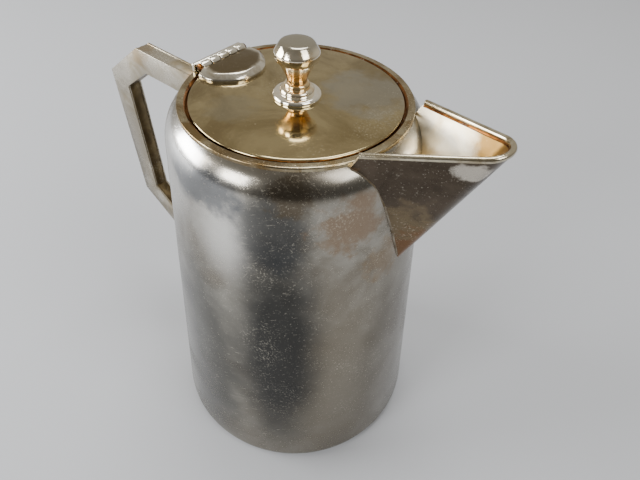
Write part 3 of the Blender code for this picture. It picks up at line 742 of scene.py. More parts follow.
# Beads of silver solder: grey, dull and slightly lumpy.
SOLDER = PlateFinish(
    name="silver_solder_fillet", clean="9A9386", toned="6A5C46", roughness=0.34,
    cloud=5 * MM, toning=0.5, speck_share=0.1, dent=2 * MM, dent_depth=0.2)
# Unpolished plate out of sight: dull, with coffee-brown clouds.
INSIDE_PLATE = PlateFinish(
    name="unpolished_plate_inside", clean="8F8B81", toned="5E5546", roughness=0.38,
    cloud=20 * MM, toning=0.5, speck_share=0.1)
# Nickel-plated steel fixing: an even cool grey.
PLATED_STEEL = PlateFinish(
    name="nickel_plated_steel_fixing", clean="A8A7A3", toned="7C786E", roughness=0.30,
    cloud=5 * MM, toning=0.4, speck_share=0.1)


# ---------------------------------------------------------------------------------------------
# The pot
# ---------------------------------------------------------------------------------------------
@dataclass
class PotBody:
    """The spun cup with its standing ring, its shoulder and the strainer behind the spout."""

    base_radius: float = 56.0 * MM
    shoulder_radius: float = 44.2 * MM
    shoulder_z: float = 145.2 * MM
    shoulder_rise: float = 14.3 * MM
    shoulder_inset: float = 11.0 * MM
    bottom_corner: float = 4.7 * MM
    sheet: float = 1.0 * MM
    foot_width: float = 10.5 * MM
    neck_radius: float = 36.6 * MM
    ring_radius: float = 38.9 * MM
    hole_radius: float = 2.0 * MM
    hole_pitch: Pair = (5.6 * MM, 7.4 * MM)
    hole_rows: int = 4
    lowest_hole: float = 123.0 * MM
    plug_inset: float = 0.1 * MM
    # The bottom disc: the share of its radius inside which it is domed, and the dome's curve.
    disc_dome: float = 0.86
    disc_curve: float = 0.8

    def __post_init__(self) -> None:
        """Work out the shoulder's ellipse."""
        self.lean = math.atan((self.base_radius - self.shoulder_radius) / self.shoulder_z)
        tangent = self.shoulder_rise / self.shoulder_inset * math.tan(self.lean)
        self.start = math.atan(tangent)
        self.centre_r = self.shoulder_radius - self.shoulder_inset * math.cos(self.start)
        self.centre_z = self.shoulder_z - self.shoulder_rise * math.sin(self.start)
        self.end = math.acos((self.ring_radius - self.centre_r) / self.shoulder_inset)

    def wall(self, height: float) -> float:
        """Tell the radius of the outside, the shoulder included.

        Args:
            height: The height above the table.

        Returns:
            The radius at that height.
        """
        if height <= self.shoulder_z:
            return self.base_radius - height * math.tan(self.lean)
        rise = min((height - self.centre_z) / self.shoulder_rise, 1.0)
        return self.centre_r + self.shoulder_inset * math.sqrt(1.0 - rise * rise)

    def outside(self, point: Vector) -> bool:
        """Tell whether a point, measured from the pot's axis, is clear of the wall.

        Args:
            point: The point.

        Returns:
            Whether it is outside.
        """
        return math.hypot(point.x, point.y) > self.wall(point.z)

    def skin(self, offset: float, steps: int = 18) -> Profile:
        """Draw the outside from the mouth to the standing ring's inner edge.

        Args:
            offset: How far it is moved outward.
            steps: Stretches in the shoulder's curve and in the bottom corner's.

        Returns:
            Radius and height pairs, from the mouth down.
        """
        outline = []
        for i in range(steps + 1):
            angle = self.end + (self.start - self.end) * i / steps
            outline.append((self.centre_r + (self.shoulder_inset + offset) * math.cos(angle),
                            self.centre_z + (self.shoulder_rise + offset) * math.sin(angle)))
        corner_r = self.wall(self.bottom_corner) - self.bottom_corner / math.cos(self.lean)
        for i in range(steps + 1):
            angle = self.lean - (self.lean + math.pi / 2) * i / steps
            outline.append((corner_r + (self.bottom_corner + offset) * math.cos(angle),
                            self.bottom_corner + (self.bottom_corner + offset) * math.sin(angle)))
        outline.append((corner_r - self.foot_width, -offset))
        return outline

    def plug(self, axis_x: float, top: float, offset: float) -> bpy.types.Object:
        """Make a solid that fills the pot.

        Args:
            axis_x: Where the pot's axis stands.
            top: The solid's top.
            offset: How far its wall is moved outward from the pot's outside.

        Returns:
            The solid.
        """
        outline = [(0.0, top), (self.ring_radius - self.plug_inset, top)]
        outline += [(radius, height) for radius, height in self.skin(offset) if radius > 0.0]
        outline.append((0.0, -offset))
        return mesh_object("plug", spun(outline, axis_x, closed=False))

    def strainer(self, axis_x: float) -> bpy.types.Object:
        """Make the cutter for the strainer holes, rows that widen upward.

        Args:
            axis_x: Where the pot's axis stands.

        Returns:
            Rods as thick as the holes, through the wall behind the spout.
        """
        shape = bmesh.new()
        along_x = Matrix.Rotation(math.pi / 2, 4, "Y")
        middle = axis_x + (self.shoulder_radius + self.base_radius) / 2
        for row in range(self.hole_rows):
            for hole in range(row + 1):
                centre = (middle, (hole - row / 2) * self.hole_pitch[0],
                          self.lowest_hole + row * self.hole_pitch[1])
                bmesh.ops.create_cone(shape, cap_ends=True, segments=24,
                                      radius1=self.hole_radius, radius2=self.hole_radius,
                                      depth=middle / 3,
                                      matrix=Matrix.Translation(centre) @ along_x)
        return mesh_object("strainer_cutter", shape)

    def build(self, shop: Workshop) -> None:
        """Make the cup and its bottom.

        Args:
            shop: The workshop that finishes them.
        """
        axis_x = shop.layout.axis_x
        inner = self.skin(-self.sheet)[::-1]
        outer = self.skin(0.0)
        mouth = [(self.neck_radius, inner[-1][1]), (self.neck_radius, outer[0][1])]
        cup = mesh_object("body_shell", spun(outer + inner + mouth, axis_x, steps=192))
        cut_away(cup, self.strainer(axis_x))
        shop.show(cup, Body.POT, BODY_PLATE, ("pot_body",))
        low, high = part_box("base_disc")
        radius = (high.x - low.x) / 2
        crown = high.z - low.z
        flat = radius * self.disc_dome
        under = [(radius, low.z - FRAME_GAP), (flat, low.z - FRAME_GAP)]
        dome = [(radius * share, low.z + (crown - self.sheet)
                 * (1 - share / self.disc_dome) ** self.disc_curve)
                for share in (0.8, 0.65, 0.45, 0.2, 0.0)]
        over = [(r, z + self.sheet) for r, z in reversed(dome)]
        rim = [(flat, low.z + self.sheet), (radius, low.z + self.sheet)]
        disc = mesh_object("bottom_plate", spun(under + dome + over + rim, axis_x))
        shop.show(disc, Body.POT, INSIDE_PLATE, ("base_disc",))


@dataclass
class MouthRing:
    """The ring round the mouth: a rounded flange, its neck and the stained ledge in it."""

    bore: float = 35.8 * MM
    radius: float = 38.9 * MM
    thickness: float = 1.3 * MM
    edge: float = 0.55 * MM
    seat_bevel: float = 0.65 * MM
    neck_sheet: float = 0.8 * MM
    ledge_bore: float = 33.6 * MM
    ledge_thickness: float = 0.8 * MM

    def build(self, shop: Workshop) -> None:
        """Make the flange and the ledge below it.

        Args:
            shop: The workshop that finishes them.
        """
        axis_x, top = shop.layout.axis_x, shop.layout.ring_top
        inside = self.bore + self.seat_bevel
        outline = [(inside, top - self.thickness), (inside, top),
                   *corner_round(self.radius, top, self.edge),
                   (self.radius, top - self.thickness)]
        flange = mesh_object("mouth_flange", spun(outline, axis_x, steps=192))
        shop.show(flange, Body.POT, MOUTH_PLATE, ("mouth_ring",))
        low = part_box("mouth_ring")[0].z
        ledge_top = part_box("lid_plate")[0].z - FRAME_GAP
        under = ledge_top - self.ledge_thickness
        outer = self.bore + self.neck_sheet
        outline = [(outer, top - self.thickness), (outer, low), (self.bore, low),
                   (self.bore, under), (self.ledge_bore, under), (self.ledge_bore, ledge_top),
                   (self.bore, ledge_top), (self.bore, top - self.seat_bevel),
                   (inside + SEAT, top - SEAT), (inside + SEAT, top - self.thickness)]
        neck = mesh_object("mouth_ledge", spun(outline, axis_x))
        shop.show(neck, Body.POT, THROAT_PLATE)


@dataclass
class Spout:
    """Two flat walls bent from one sheet round a cone, with a wire along the lip."""

    sheet: float = 1.2 * MM
    foot_z: float = 107.5 * MM
    foot_depth: float = 3.6 * MM
    back_reach: float = 37.0 * MM
    back_half_width: float = 17.8 * MM
    tip_reach: float = 70.5 * MM
    tip_radius: float = 6.4 * MM
    heel_drop: float = 6.0 * MM
    heel_inset: float = 3.2 * MM
    lip_back_z: float = 161.9 * MM
    lip_tip_z: float = 168.8 * MM
    wire_radius: float = 0.95 * MM
    # The walls are trimmed to this depth in the body, up to this far below the mouth ring's
    # top, and start at a share of the way out from the point they fan out from.
    root_depth: float = 0.5 * MM
    root_top: float = 0.1 * MM
    root_start: float = 0.04
    # The bead along the body lies near the walls' outside, given as a share of the sheet.  It
    # ends at a share of the shoulder's rise and of the way to the lip.  Long straight edges
    # are cut into pieces, and the keel is where the two walls meet below.
    seam_radius: float = 0.45 * MM
    seam_outward: float = 0.9
    seam_top: float = 0.985
    seam_reach: float = 0.99
    long_edge: float = 4.0 * MM
    edge_pieces: int = 10
    keel_half: float = 0.5 * MM
    keel_outward: float = 0.6
    # Faces that look up by more than this are the spout's inside.
    lining_tilt: float = 0.1

    def lip_z(self, reach: float) -> float:
        """Tell the height of the lip wire's top.

        Args:
            reach: The distance from the pot's axis.

        Returns:
            The height there.
        """
        slope = (self.lip_tip_z - self.lip_back_z) / (self.tip_reach - self.back_reach)
        return self.lip_back_z + slope * (reach - self.back_reach)

    def lip(self, outward: float, steps: int = 32) -> Profile:
        """Draw the lip in plan.

        Args:
            outward: How far it is moved outward from the walls' inner surface.
            steps: Stretches in the curve round the tip.

        Returns:
            Distances from the pot's axis along and across the spout, from side to side.
        """
        centre = self.tip_reach - self.tip_radius
        radius = self.tip_radius + outward
        back = Vector((self.back_reach - centre, self.back_half_width))
        turn = math.atan2(back.y, back.x) - math.acos(self.tip_radius / back.length)
        end = back + outward * Vector((math.cos(turn), math.sin(turn)))
        half = [(centre + end.x, end.y)]
        for i in range(steps // 2 + 1):
            angle = turn * (1.0 - 2.0 * i / steps)
            half.append((centre + radius * math.cos(angle), radius * math.sin(angle)))
        return half + [(x, -y) for x, y in reversed(half[:-1])]

    def fan(self, body: PotBody) -> tuple[Vector, list[Vector]]:
        """Find the lines that the walls are stretched between.

        Args:
            body: The body that the spout stands on.

        Returns:
            The point the walls fan out from, and the top edge they fan out to.
        """
        foot = Vector((body.wall(self.foot_z) - self.foot_depth, 0.0, self.foot_z))
        drop = self.wire_radius
        edge = [Vector((x, y, self.lip_z(x) - drop)) for x, y in self.lip(0.0)]
        normal = (edge[0] - foot).cross(edge[1] - foot)
        heel_x = self.back_reach - self.heel_inset
        heel_z = edge[0].z - self.heel_drop
        heel_y = -(normal.x * (heel_x - foot.x) + normal.z * (heel_z - foot.z)) / normal.y
        ends = [Vector((heel_x, heel_y, heel_z)), Vector((heel_x, -heel_y, heel_z))]
        return foot, [ends[0]] + edge + [ends[1]]

    def seam(self, body: PotBody, axis_x: float, outward: float) -> list[Vector]:
        """Find where the walls' outside meets the body, for the bead of solder.

        Args:
            body: The body that the spout stands on.
            axis_x: Where the pot's axis stands.
            outward: How far the bead lies outward from the walls' inner surface.

        Returns:
            The bead's path, down one side and up the other.
        """
        foot, edge = self.fan(body)
        fine = []
        for start, end in zip(edge, edge[1:]):
            pieces = self.edge_pieces if (end - start).length > self.long_edge else 1
            fine += [start.lerp(end, i / pieces) for i in range(pieces)]
        fine.append(edge[-1])
        highest = body.centre_z + body.shoulder_rise * self.seam_top
        found = []
        for point in fine:
            side = Vector((0.0, math.copysign(outward, point.y), 0.0))
            if abs(point.y) < self.keel_half:
                side = Vector((outward * self.keel_outward, 0.0, 0.0))
            reached = foot.lerp(point, self.seam_reach)
            met = crossing(foot + side, reached + side, body.outside)
            if met.z < highest and body.outside(met):
                found.append(met + Vector((axis_x, 0.0, 0.0)))
        return found

    def along_lip(self, axis_x: float, outward: float, drop: float) -> list[Vector]:
        """Run a path along the lip.

        Args:
            axis_x: Where the pot's axis stands.
            outward: How far it lies outward from the walls' inner surface.
            drop: How far it lies below the lip wire's top.

        Returns:
            The path's points.
        """
        return [Vector((x + axis_x, y, self.lip_z(x) - drop)) for x, y in self.lip(outward)]

    def walls(self, layout: Layout, body: PotBody) -> bpy.types.Object:
        """Bend the walls from one sheet and trim them to the body.

        Args:
            layout: Where the pot's lines are.
            body: The body that the spout stands on.

        Returns:
            The walls, open at the top and behind.
        """
        foot, edge = self.fan(body)
        shape = bmesh.new()
        verts = [shape.verts.new(point) for point in edge]
        rim = [shape.edges.new(pair) for pair in zip(verts, verts[1:])]
        grown = bmesh.ops.extrude_edge_only(shape, edges=rim)["geom"]
        low = [item for item in grown if isinstance(item, bmesh.types.BMVert)]
        for vertex in low:
            vertex.co = foot.lerp(vertex.co, self.root_start)
        bmesh.ops.recalc_face_normals(shape, faces=shape.faces)
        shape.normal_update()
        tip = max(shape.faces, key=lambda face: face.calc_center_median().x)
        if tip.normal.x < 0.0:
            bmesh.ops.reverse_faces(shape, faces=shape.faces)
        bmesh.ops.translate(shape, verts=shape.verts, vec=(layout.axis_x, 0.0, 0.0))
        walls = mesh_object("spout_walls", shape)
        shell = walls.modifiers.new("sheet", "SOLIDIFY")
        shell.thickness = self.sheet
        shell.offset = 1.0
        shell.use_even_offset = True
        root_top = layout.ring_top - self.root_top
        return cut_away(walls, body.plug(layout.axis_x, root_top, -self.root_depth))

    def build(self, shop: Workshop, body: PotBody) -> None:
        """Make the walls, the lip wire and the solder under the lip and along the body.

        Args:
            shop: The workshop that finishes them.
            body: The body that the spout stands on.
        """
        axis_x = shop.layout.axis_x
        walls = self.walls(shop.layout, body)
        shop.show(walls, Body.POT, SPOUT_PLATE, ("spout",), sharp=25.0)
        walls.data.materials.append(shop.material(SPOUT_LINING))
        for face in walls.data.polygons:
            face.material_index = int(face.normal.z > self.lining_tilt)
        lip = wire("spout_lip_wire", self.along_lip(axis_x, self.sheet / 2, self.wire_radius),
                   self.wire_radius)
        shop.show(lip, Body.POT, RIM_PLATE, ("spout_lip",))
        under = wire("spout_lip_solder", self.along_lip(axis_x, 0.0, 2 * self.wire_radius),
                     self.seam_radius)
        shop.show(under, Body.POT, THROAT_PLATE)
        bead = wire("spout_seam", self.seam(body, axis_x, self.sheet * self.seam_outward),
                    self.seam_radius)
        shop.show(bead, Body.POT, SOLDER)


@dataclass
class Handle:
    """The angular handle: two cheeks with bands between them, mitred and soldered."""

    top_z: float = 148.9 * MM
    top_fall: float = 1.651 * MM
    top_corner: float = 81.6 * MM
    reach: float = 103.8 * MM
    reach_z: float = 132.5 * MM
    low_reach: float = 101.1 * MM
    low_z: float = 66.8 * MM
    bottom_corner: float = 79.0 * MM
    bottom_z: float = 50.4 * MM
    depth: float = 9.8 * MM
    width: float = 7.0 * MM
    sheet: float = 1.0 * MM
    band_inset: float = 0.15 * MM
    softened: float = 0.22 * MM
    root_depth: float = 0.5 * MM
    bead_radius: float = 0.5 * MM

    def path(self, inset: float, body: PotBody) -> list[Vector]:
        """Draw the side outline from the top arm's root to the lower arm's.

        The arms start well inside the pot and are then cut back to its wall.

        Args:
            inset: How far the outline is moved inward.
            body: The body that the arms end on.

        Returns:
            Places along the pot, from its axis, and heights.
        """
        root = self.top_corner / 3
        corners = [(root, self.top_z - self.top_fall), (self.top_corner, self.top_z),
                   (self.reach, self.reach_z), (self.low_reach, self.low_z),
                   (self.bottom_corner, self.bottom_z), (root, self.bottom_z)]
        points = [Vector((-x, z)) for x, z in corners]
        sides = [(end - start).normalized() for start, end in zip(points, points[1:])]
        inward = [Vector((-side.y, side.x)) for side in sides]
        moved = [points[0] + inset * inward[0]]
        for corner, before, after in zip(points[1:-1], inward, inward[1:]):
            mitre = (before + after).normalized()
            moved.append(corner + mitre * inset / mitre.dot(before))
        moved.append(points[-1] + inset * inward[-1])
        for end, inner in ((0, 1), (-1, -2)):
            moved[end] = self.on_wall(moved[end], moved[inner], body)
        return moved

    def on_wall(self, start: Vector, end: Vector, body: PotBody) -> Vector:
        """Find where a straight arm is a little inside the body's wall.

        Args:
            start: The arm's end inside the pot.
            end: The arm's end at the handle's corner.
            body: The body that the arm ends on.

        Returns:
            Its place along the pot, from its axis, and its height.
        """
        return crossing(start, end,
                        lambda point: -point.x > body.wall(point.y) - self.root_depth)

    def sheet_piece(self, name: str, outer: float, inner: float, low_y: float, high_y: float,
                    body: PotBody, axis_x: float) -> bpy.types.Object:
        """One sheet between two insets from the outside.

        Args:
            name: The piece's name.
            outer: Inset of its outer edge.
            inner: Inset of its inner edge.
            low_y: Where it starts across the handle.
            high_y: Where it ends across the handle.
            body: The body its arms end on.
            axis_x: Where the pot's axis stands.

        Returns:
            The sheet, with softened edges.
        """
        flat = self.path(outer, body) + list(reversed(self.path(inner, body)))
        outline = [Vector((point.x + axis_x, low_y, point.y)) for point in flat]
        shape = slab(outline, Vector((0.0, high_y - low_y, 0.0)), self.softened)
        return mesh_object(name, shape)

    def root_bead(self, name: str, body: PotBody, axis_x: float, end: int) -> bpy.types.Object:
        """Lay the fillet of solder round one arm where it meets the body.

        Args:
            name: The piece's name.
            body: The body that the arm ends on.
            axis_x: Where the pot's axis stands.
            end: 0 for the top arm and -1 for the lower one.

        Returns:
            A closed bead with its corners cut off.
        """
        outer = self.path(0.0, body)[end]
        inner = self.path(self.depth, body)[end]
        half = self.width / 2
        out = axis_x - self.root_depth
        ring = [Vector((point.x + out, y, point.y))
                for point, y in ((outer, -half), (outer, half), (inner, half), (inner, -half))]
        path = []
        for start, stop in zip(ring, ring[1:] + ring[:1]):
            path += [start.lerp(stop, share) for share in (0.06, 0.5, 0.94)]
        return wire(name, path, self.bead_radius, closed=True)

    def build(self, shop: Workshop, body: PotBody) -> None:
        """Make the cheeks, the bands and the solder at both roots.

        Args:
            shop: The workshop that finishes them.
            body: The body that the arms end on.
        """
        axis_x = shop.layout.axis_x
        half = self.width / 2
        inside = half - self.sheet
        inset = self.band_inset
        for name, node, low_y, high_y in (
                ("handle_side_left", "handle_cheek_left", inside, half),
                ("handle_side_right", "handle_cheek_right", -half, -inside)):
            cheek = self.sheet_piece(name, 0.0, self.depth, low_y, high_y, body, axis_x)
            shop.show(cheek, Body.POT, HANDLE_PLATE, (node,))
        grip = self.depth - self.sheet - inset
        for name, node, outer, finish in (
                ("handle_back_band", "handle_outer_band", inset, HANDLE_PLATE),
                ("handle_grip_band", "handle_inner_band", grip, GRIP_PLATE)):
            band = self.sheet_piece(name, outer, outer + self.sheet, -inside, inside, body,
                                    axis_x)
            shop.show(band, Body.POT, finish, (node,))
        for name, end in (("handle_solder_top", 0), ("handle_solder_low", -1)):
            bead = self.root_bead(name, body, axis_x, end)
            shop.show(bead, Body.POT, SOLDER)


@dataclass
class Hinge:
    """The five-knuckle hinge, its bracket on the ring and its leaf on the lid."""

    radius: float = 1.75 * MM
    bore: float = 1.0 * MM
    length: float = 20.4 * MM
    knuckles: int = 5
    gap: float = 0.3 * MM
    knuckle_edge: float = 0.35 * MM
    pin_radius: float = 0.7 * MM
    head_radius: float = 1.45 * MM
    head_height: float = 0.7 * MM
    bracket_depth: float = 1.4 * MM
    bracket_overhang: float = 1.2 * MM
    bracket_rise: float = 0.75 * MM
    bracket_edge: float = 0.4 * MM
    leaf_length: float = 12.8 * MM
    leaf_straight: float = 4.6 * MM
    leaf_back: float = 13.2 * MM
    leaf_front: float = 4.8 * MM
    # How far the bend's corner is pulled back from the front and in from the back's width.
    leaf_bend: Pair = (1.2 * MM, 4.4 * MM)
    leaf_nose: float = 0.8 * MM
    leaf_thickness: float = 2.5 * MM
    leaf_edge: float = 0.9 * MM
    leaf_flank: float = 2.0 * MM
    # Shares of the flank's width and of its rise, from the foot inward: a steep lip, the
    # slope, and a shoulder that rolls over to the flat.
    flank_steps: tuple[Pair, ...] = ((0.08, 0.16), (0.66, 0.66), (0.14, 0.15), (0.12, 0.03))

    def barrel_piece(self, name: str, outline: Profile, layout: Layout,
                     closed: bool) -> bpy.types.Object:
        """Turn a piece about the hinge's line.

        Args:
            name: The piece's name.
            outline: Radius and distance along the line, from the hinge's middle.
            layout: Where the pot's lines are.
            closed: Whether the outline joins its own start.

        Returns:
            The piece.
        """
        shape = spun(outline, 0.0, steps=48, closed=closed)
        shape.transform(Matrix.Translation((layout.hinge_x, 0.0, layout.hinge_z))
                        @ Matrix.Rotation(-math.pi / 2, 4, "X"))
        return mesh_object(name, shape)

    def knuckle(self, index: int, layout: Layout) -> bpy.types.Object:
        """Make one tube of the barrel, with rounded ends.

        Args:
            index: Its place along the barrel, from 0.
            layout: Where the pot's lines are.

        Returns:
            The tube.
        """
        length = (self.length - (self.knuckles - 1) * self.gap) / self.knuckles
        start = -self.length / 2 + index * (length + self.gap)
        end = start + length
        upper = corner_round(self.radius, end, self.knuckle_edge, 4)
        lower = [(r, -z) for r, z in corner_round(self.radius, -start, self.knuckle_edge, 4)]
        outline = [(self.bore, end), *upper, *reversed(lower), (self.bore, start)]
        return self.barrel_piece(f"hinge_tube_{index + 1}", outline, layout, True)

    def pin(self, layout: Layout) -> bpy.types.Object:
        """Make the pin, with a domed head at each end.

        Args:
            layout: Where the pot's lines are.

        Returns:
            The pin.
        """
        half = self.length / 2 + self.gap
        steps = 6
        outline = []
        for i in range(steps + 1):
            angle = math.pi / 2 * (1 - i / steps)
            outline.append((self.head_radius * math.cos(angle),
                            half + self.head_height * math.sin(angle)))
        outline.append((self.pin_radius, half))
        outline += [(r, -z) for r, z in reversed(outline)]
        outline[0] = (0.0, outline[0][1])
        outline[-1] = (0.0, outline[-1][1])
        return self.barrel_piece("hinge_rod", outline, layout, False)

    def leaf_outline(self, back: float) -> Profile:
        """Draw the leaf in plan.

        Args:
            back: Where its back edge lies along the pot.

        Returns:
            Places along and across the pot: the straight back, a bend on each side that
            narrows the leaf, and a bowed nose.
        """
        front = back + self.leaf_length
        pulled, narrowed = self.leaf_bend
        start = Vector((back + self.leaf_straight, self.leaf_back))
        control = Vector((front - pulled, self.leaf_back - narrowed))
        end = Vector((front, self.leaf_front))
        bend = [start.lerp(control, t).lerp(control.lerp(end, t), t)
                for t in (i / 8 for i in range(9))]
        nose = [(front + self.leaf_nose * math.cos(angle), self.leaf_front * math.sin(angle))
                for angle in (math.pi / 3, math.pi / 6, 0.0)]
        half = [(back, self.leaf_back), *((point.x, point.y) for point in bend), *nose]
        return [(x, -y) for x, y in half] + half[-2::-1]

    def leaf(self, layout: Layout) -> bpy.types.Object:
        """Make the leaf, a tongue with sloping flanks and a rounded front.

        Args:
            layout: Where the pot's lines are.

        Returns:
            The leaf, seated in the lid's top.
        """
        back = layout.hinge_x + self.radius + self.gap
        low = layout.lid_top - SEAT
        outline = self.leaf_outline(back)
        shape = bmesh.new()
        base = shape.faces.new([shape.verts.new((x, y, low)) for x, y in outline])
        grown = bmesh.ops.extrude_face_region(shape, geom=[base])["geom"]
        top = [item for item in grown if isinstance(item, bmesh.types.BMFace)]
        bmesh.ops.translate(shape, verts=top[0].verts, vec=(0.0, 0.0, self.leaf_edge))
        rise = self.leaf_thickness - self.leaf_edge
        for share, lift in self.flank_steps:
            bmesh.ops.inset_region(shape, faces=top, thickness=self.leaf_flank * share,
                                   use_even_offset=True)
            bmesh.ops.translate(shape, verts=top[0].verts, vec=(0.0, 0.0, rise * lift))
        behind = back + self.leaf_flank * 1.2
        for vertex in shape.verts:
            if vertex.co.x < behind and vertex.co.z > low + self.leaf_edge:
                vertex.co.x = back
        bmesh.ops.recalc_face_normals(shape, faces=shape.faces)
        return mesh_object("hinge_tongue", shape)

    def build(self, shop: Workshop) -> None:
        """Make the bracket, the barrel, the pin and the leaf.

        Args:
            shop: The workshop that finishes them.
        """
        layout = shop.layout
        outer = layout.hinge_x - self.radius - self.gap
        half = self.length / 2 + self.bracket_overhang
        low = (outer - self.bracket_depth, -half, layout.ring_top - SEAT)
        high = (outer, half, layout.hinge_z + self.bracket_rise)
        bracket = mesh_object("hinge_plate", block(low, high, self.bracket_edge))
        shop.show(bracket, Body.POT, HINGE_PLATE, ("hinge_bracket",))
        shop.show(self.pin(layout), Body.POT, THROAT_PLATE, ("hinge_pin",))
        for index in range(self.knuckles):
            owner = Body.POT if index % 2 == 0 else Body.LID
            shop.show(self.knuckle(index, layout), owner, HINGE_PLATE,
                      (f"hinge_knuckle_{index + 1}",))
        shop.show(self.leaf(layout), Body.LID, LEAF_PLATE, ("hinge_leaf",),
                  sharp=50.0)


@dataclass
class Lid:
    """The flat lid with its turned-down edge, its hinge notch and the collar under it."""

    radius: float = 35.4 * MM
    sheet: float = 1.0 * MM
    edge_depth: float = 1.8 * MM
    rounding: float = 0.75 * MM
    bore: float = 1.8 * MM
    notch_half: float = 10.8 * MM
    notch_depth: float = 3.8 * MM
    collar_sheet: float = 0.8 * MM
    collar_edge: float = 0.2 * MM

    def build(self, shop: Workshop) -> None:
        """Make the plate and the collar.

        Args:
            shop: The workshop that finishes them.
        """
        axis_x, top = shop.layout.axis_x, shop.layout.lid_top
        under = top - self.sheet
        inside = self.radius - self.sheet
        outline = [(self.bore, top), *corner_round(self.radius, top, self.rounding),
                   (self.radius, top - self.edge_depth), (inside, top - self.edge_depth),
                   (inside, under), (self.bore, under)]
        plate = mesh_object("lid_disc", spun(outline, axis_x, steps=192))
        notch = block((axis_x - 2 * self.radius, -self.notch_half, top - 3 * self.edge_depth),
                      (axis_x - self.radius + self.notch_depth, self.notch_half,
                       top + self.edge_depth))
        cut_away(plate, mesh_object("notch", notch))
        shop.show(plate, Body.LID, LID_PLATE, ("lid_plate",))
        low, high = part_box("lid_collar")
        outer = (high.x - low.x) / 2
        inner = outer - self.collar_sheet
        edge = self.collar_edge
        outline = [(inner, under + SEAT), (outer, under + SEAT), (outer, low.z + edge),
                   (outer - edge, low.z), (inner + edge, low.z), (inner, low.z + edge)]
        collar = mesh_object("lid_flange", spun(outline, axis_x))
        shop.show(collar, Body.LID, INSIDE_PLATE, ("lid_collar",))


@dataclass
class Knob:
    """The turned knob on its three stepped rings, and the fixing under the lid."""

    bore: float = 1.8 * MM
    bore_depth: float = 5.0 * MM
    neck_radius: float = 3.3 * MM
    neck_height: float = 0.8 * MM
    band_bow: float = 0.25 * MM
    # A ring's shoulder is rounded by this much, or by a share of the ring's height if it is
    # a low one.
    ring_rounding: float = 1.2 * MM
    ring_rounded_share: float = 0.85
    ring_undercut: float = 0.1 * MM
    fixing_edge: float = 0.15 * MM
    steps: int = 96
    # The button above its band: radius and drop from the top, in millimetres.  It crowns,
    # rolls over to the girth, which has a crisp upper and lower edge, and turns in below.
    turned: tuple[Pair, ...] = (
        (0.0, 0.0), (3.2, 0.05), (4.8, 0.14), (5.3, 0.30), (5.65, 0.65), (6.2, 1.5),
        (6.95, 2.75), (7.18, 3.15), (7.25, 3.55), (7.2, 4.0), (6.88, 5.5), (6.7, 5.85),
        (6.3, 6.05))

    def ring(self, node: str, name: str, layout: Layout) -> bpy.types.Object:
        """Turn one ring with a rounded shoulder, let down onto what is below it.

        Args:
            node: The frame's node that gives its size.
            name: The piece's name.
            layout: Where the pot's lines are.

        Returns:
            The ring.
        """
        low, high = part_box(node)
        radius = (high.x - low.x) / 2
        bottom = low.z - (FRAME_GAP + SEAT)
        height = high.z - bottom
        rounding = min(height * self.ring_rounded_share, self.ring_rounding)
        outline = [(self.bore, high.z), *corner_round(radius, high.z, rounding, 8),
                   (radius - self.ring_undercut, bottom), (self.bore, bottom)]
        return mesh_object(name, spun(outline, layout.axis_x, self.steps))

    def button(self, layout: Layout) -> bpy.types.Object:
        """Turn the knob: a crowned top, a rounded girth, a sloping band and a neck.

        Args:
            layout: Where the pot's lines are.

        Returns:
            The knob, bored from below for its stud.
        """
        low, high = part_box("knob")
        top, foot = high.z, low.z - FRAME_GAP
        outline = [(radius * MM, top - drop * MM) for radius, drop in self.turned]
        neck_z, bore_z = low.z + self.neck_height, low.z + self.bore_depth
        band_r, band_z = outline[-1]
        steps = 8
        for i in range(1, steps + 1):
            share = i / steps
            bow = self.band_bow * math.sin(math.pi * share)
            outline.append((band_r + (self.neck_radius - band_r) * share - bow,
                            band_z + (neck_z - band_z) * share))
        outline += [(self.neck_radius, foot), (self.bore, foot), (self.bore, bore_z),
                    (0.0, bore_z)]
        return mesh_object("knob_button", spun(outline, layout.axis_x, self.steps, closed=False))

    def fixing(self, node: str, name: str, layout: Layout, steps: int,
               bored: bool) -> bpy.types.Object:
        """Make a washer, nut or stud with softened edges.

        Args:
            node: The frame's node that gives its size.
            name: The piece's name.
            layout: Where the pot's lines are.
            steps: Sides round it, six for a nut.
            bored: Whether it has the stud's hole.

        Returns:
            The piece.
        """
        low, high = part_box(node)
        radius = max(high.x - low.x, high.y - low.y) / 2
        edge = self.fixing_edge
        inner = self.bore if bored else 0.0
        outline = [(inner, high.z), (radius - edge, high.z), (radius, high.z - edge),
                   (radius, low.z + edge), (radius - edge, low.z), (inner, low.z)]
        return mesh_object(name, spun(outline, layout.axis_x, steps, closed=bored))

    def build(self, shop: Workshop) -> None:
        """Make the knob, its rings and its fixing.

        Args:
            shop: The workshop that finishes them.
        """
        layout = shop.layout
        for node, name in (("knob_flange", "knob_foot"), ("knob_step", "knob_tier"),
                           ("knob_bead", "knob_collar")):
            shop.show(self.ring(node, name, layout), Body.LID, KNOB_PLATE, (node,))
        shop.show(self.button(layout), Body.LID, KNOB_PLATE, ("knob",))
        for node, name, steps, bored in (("knob_stud", "fixing_stud", 32, False),
                                         ("knob_washer", "fixing_washer", 64, True),
                                         ("knob_nut", "fixing_nut", 6, True)):
            shop.show(self.fixing(node, name, layout, steps, bored), Body.LID, PLATED_STEEL,
                      (node,), sharp=20.0)


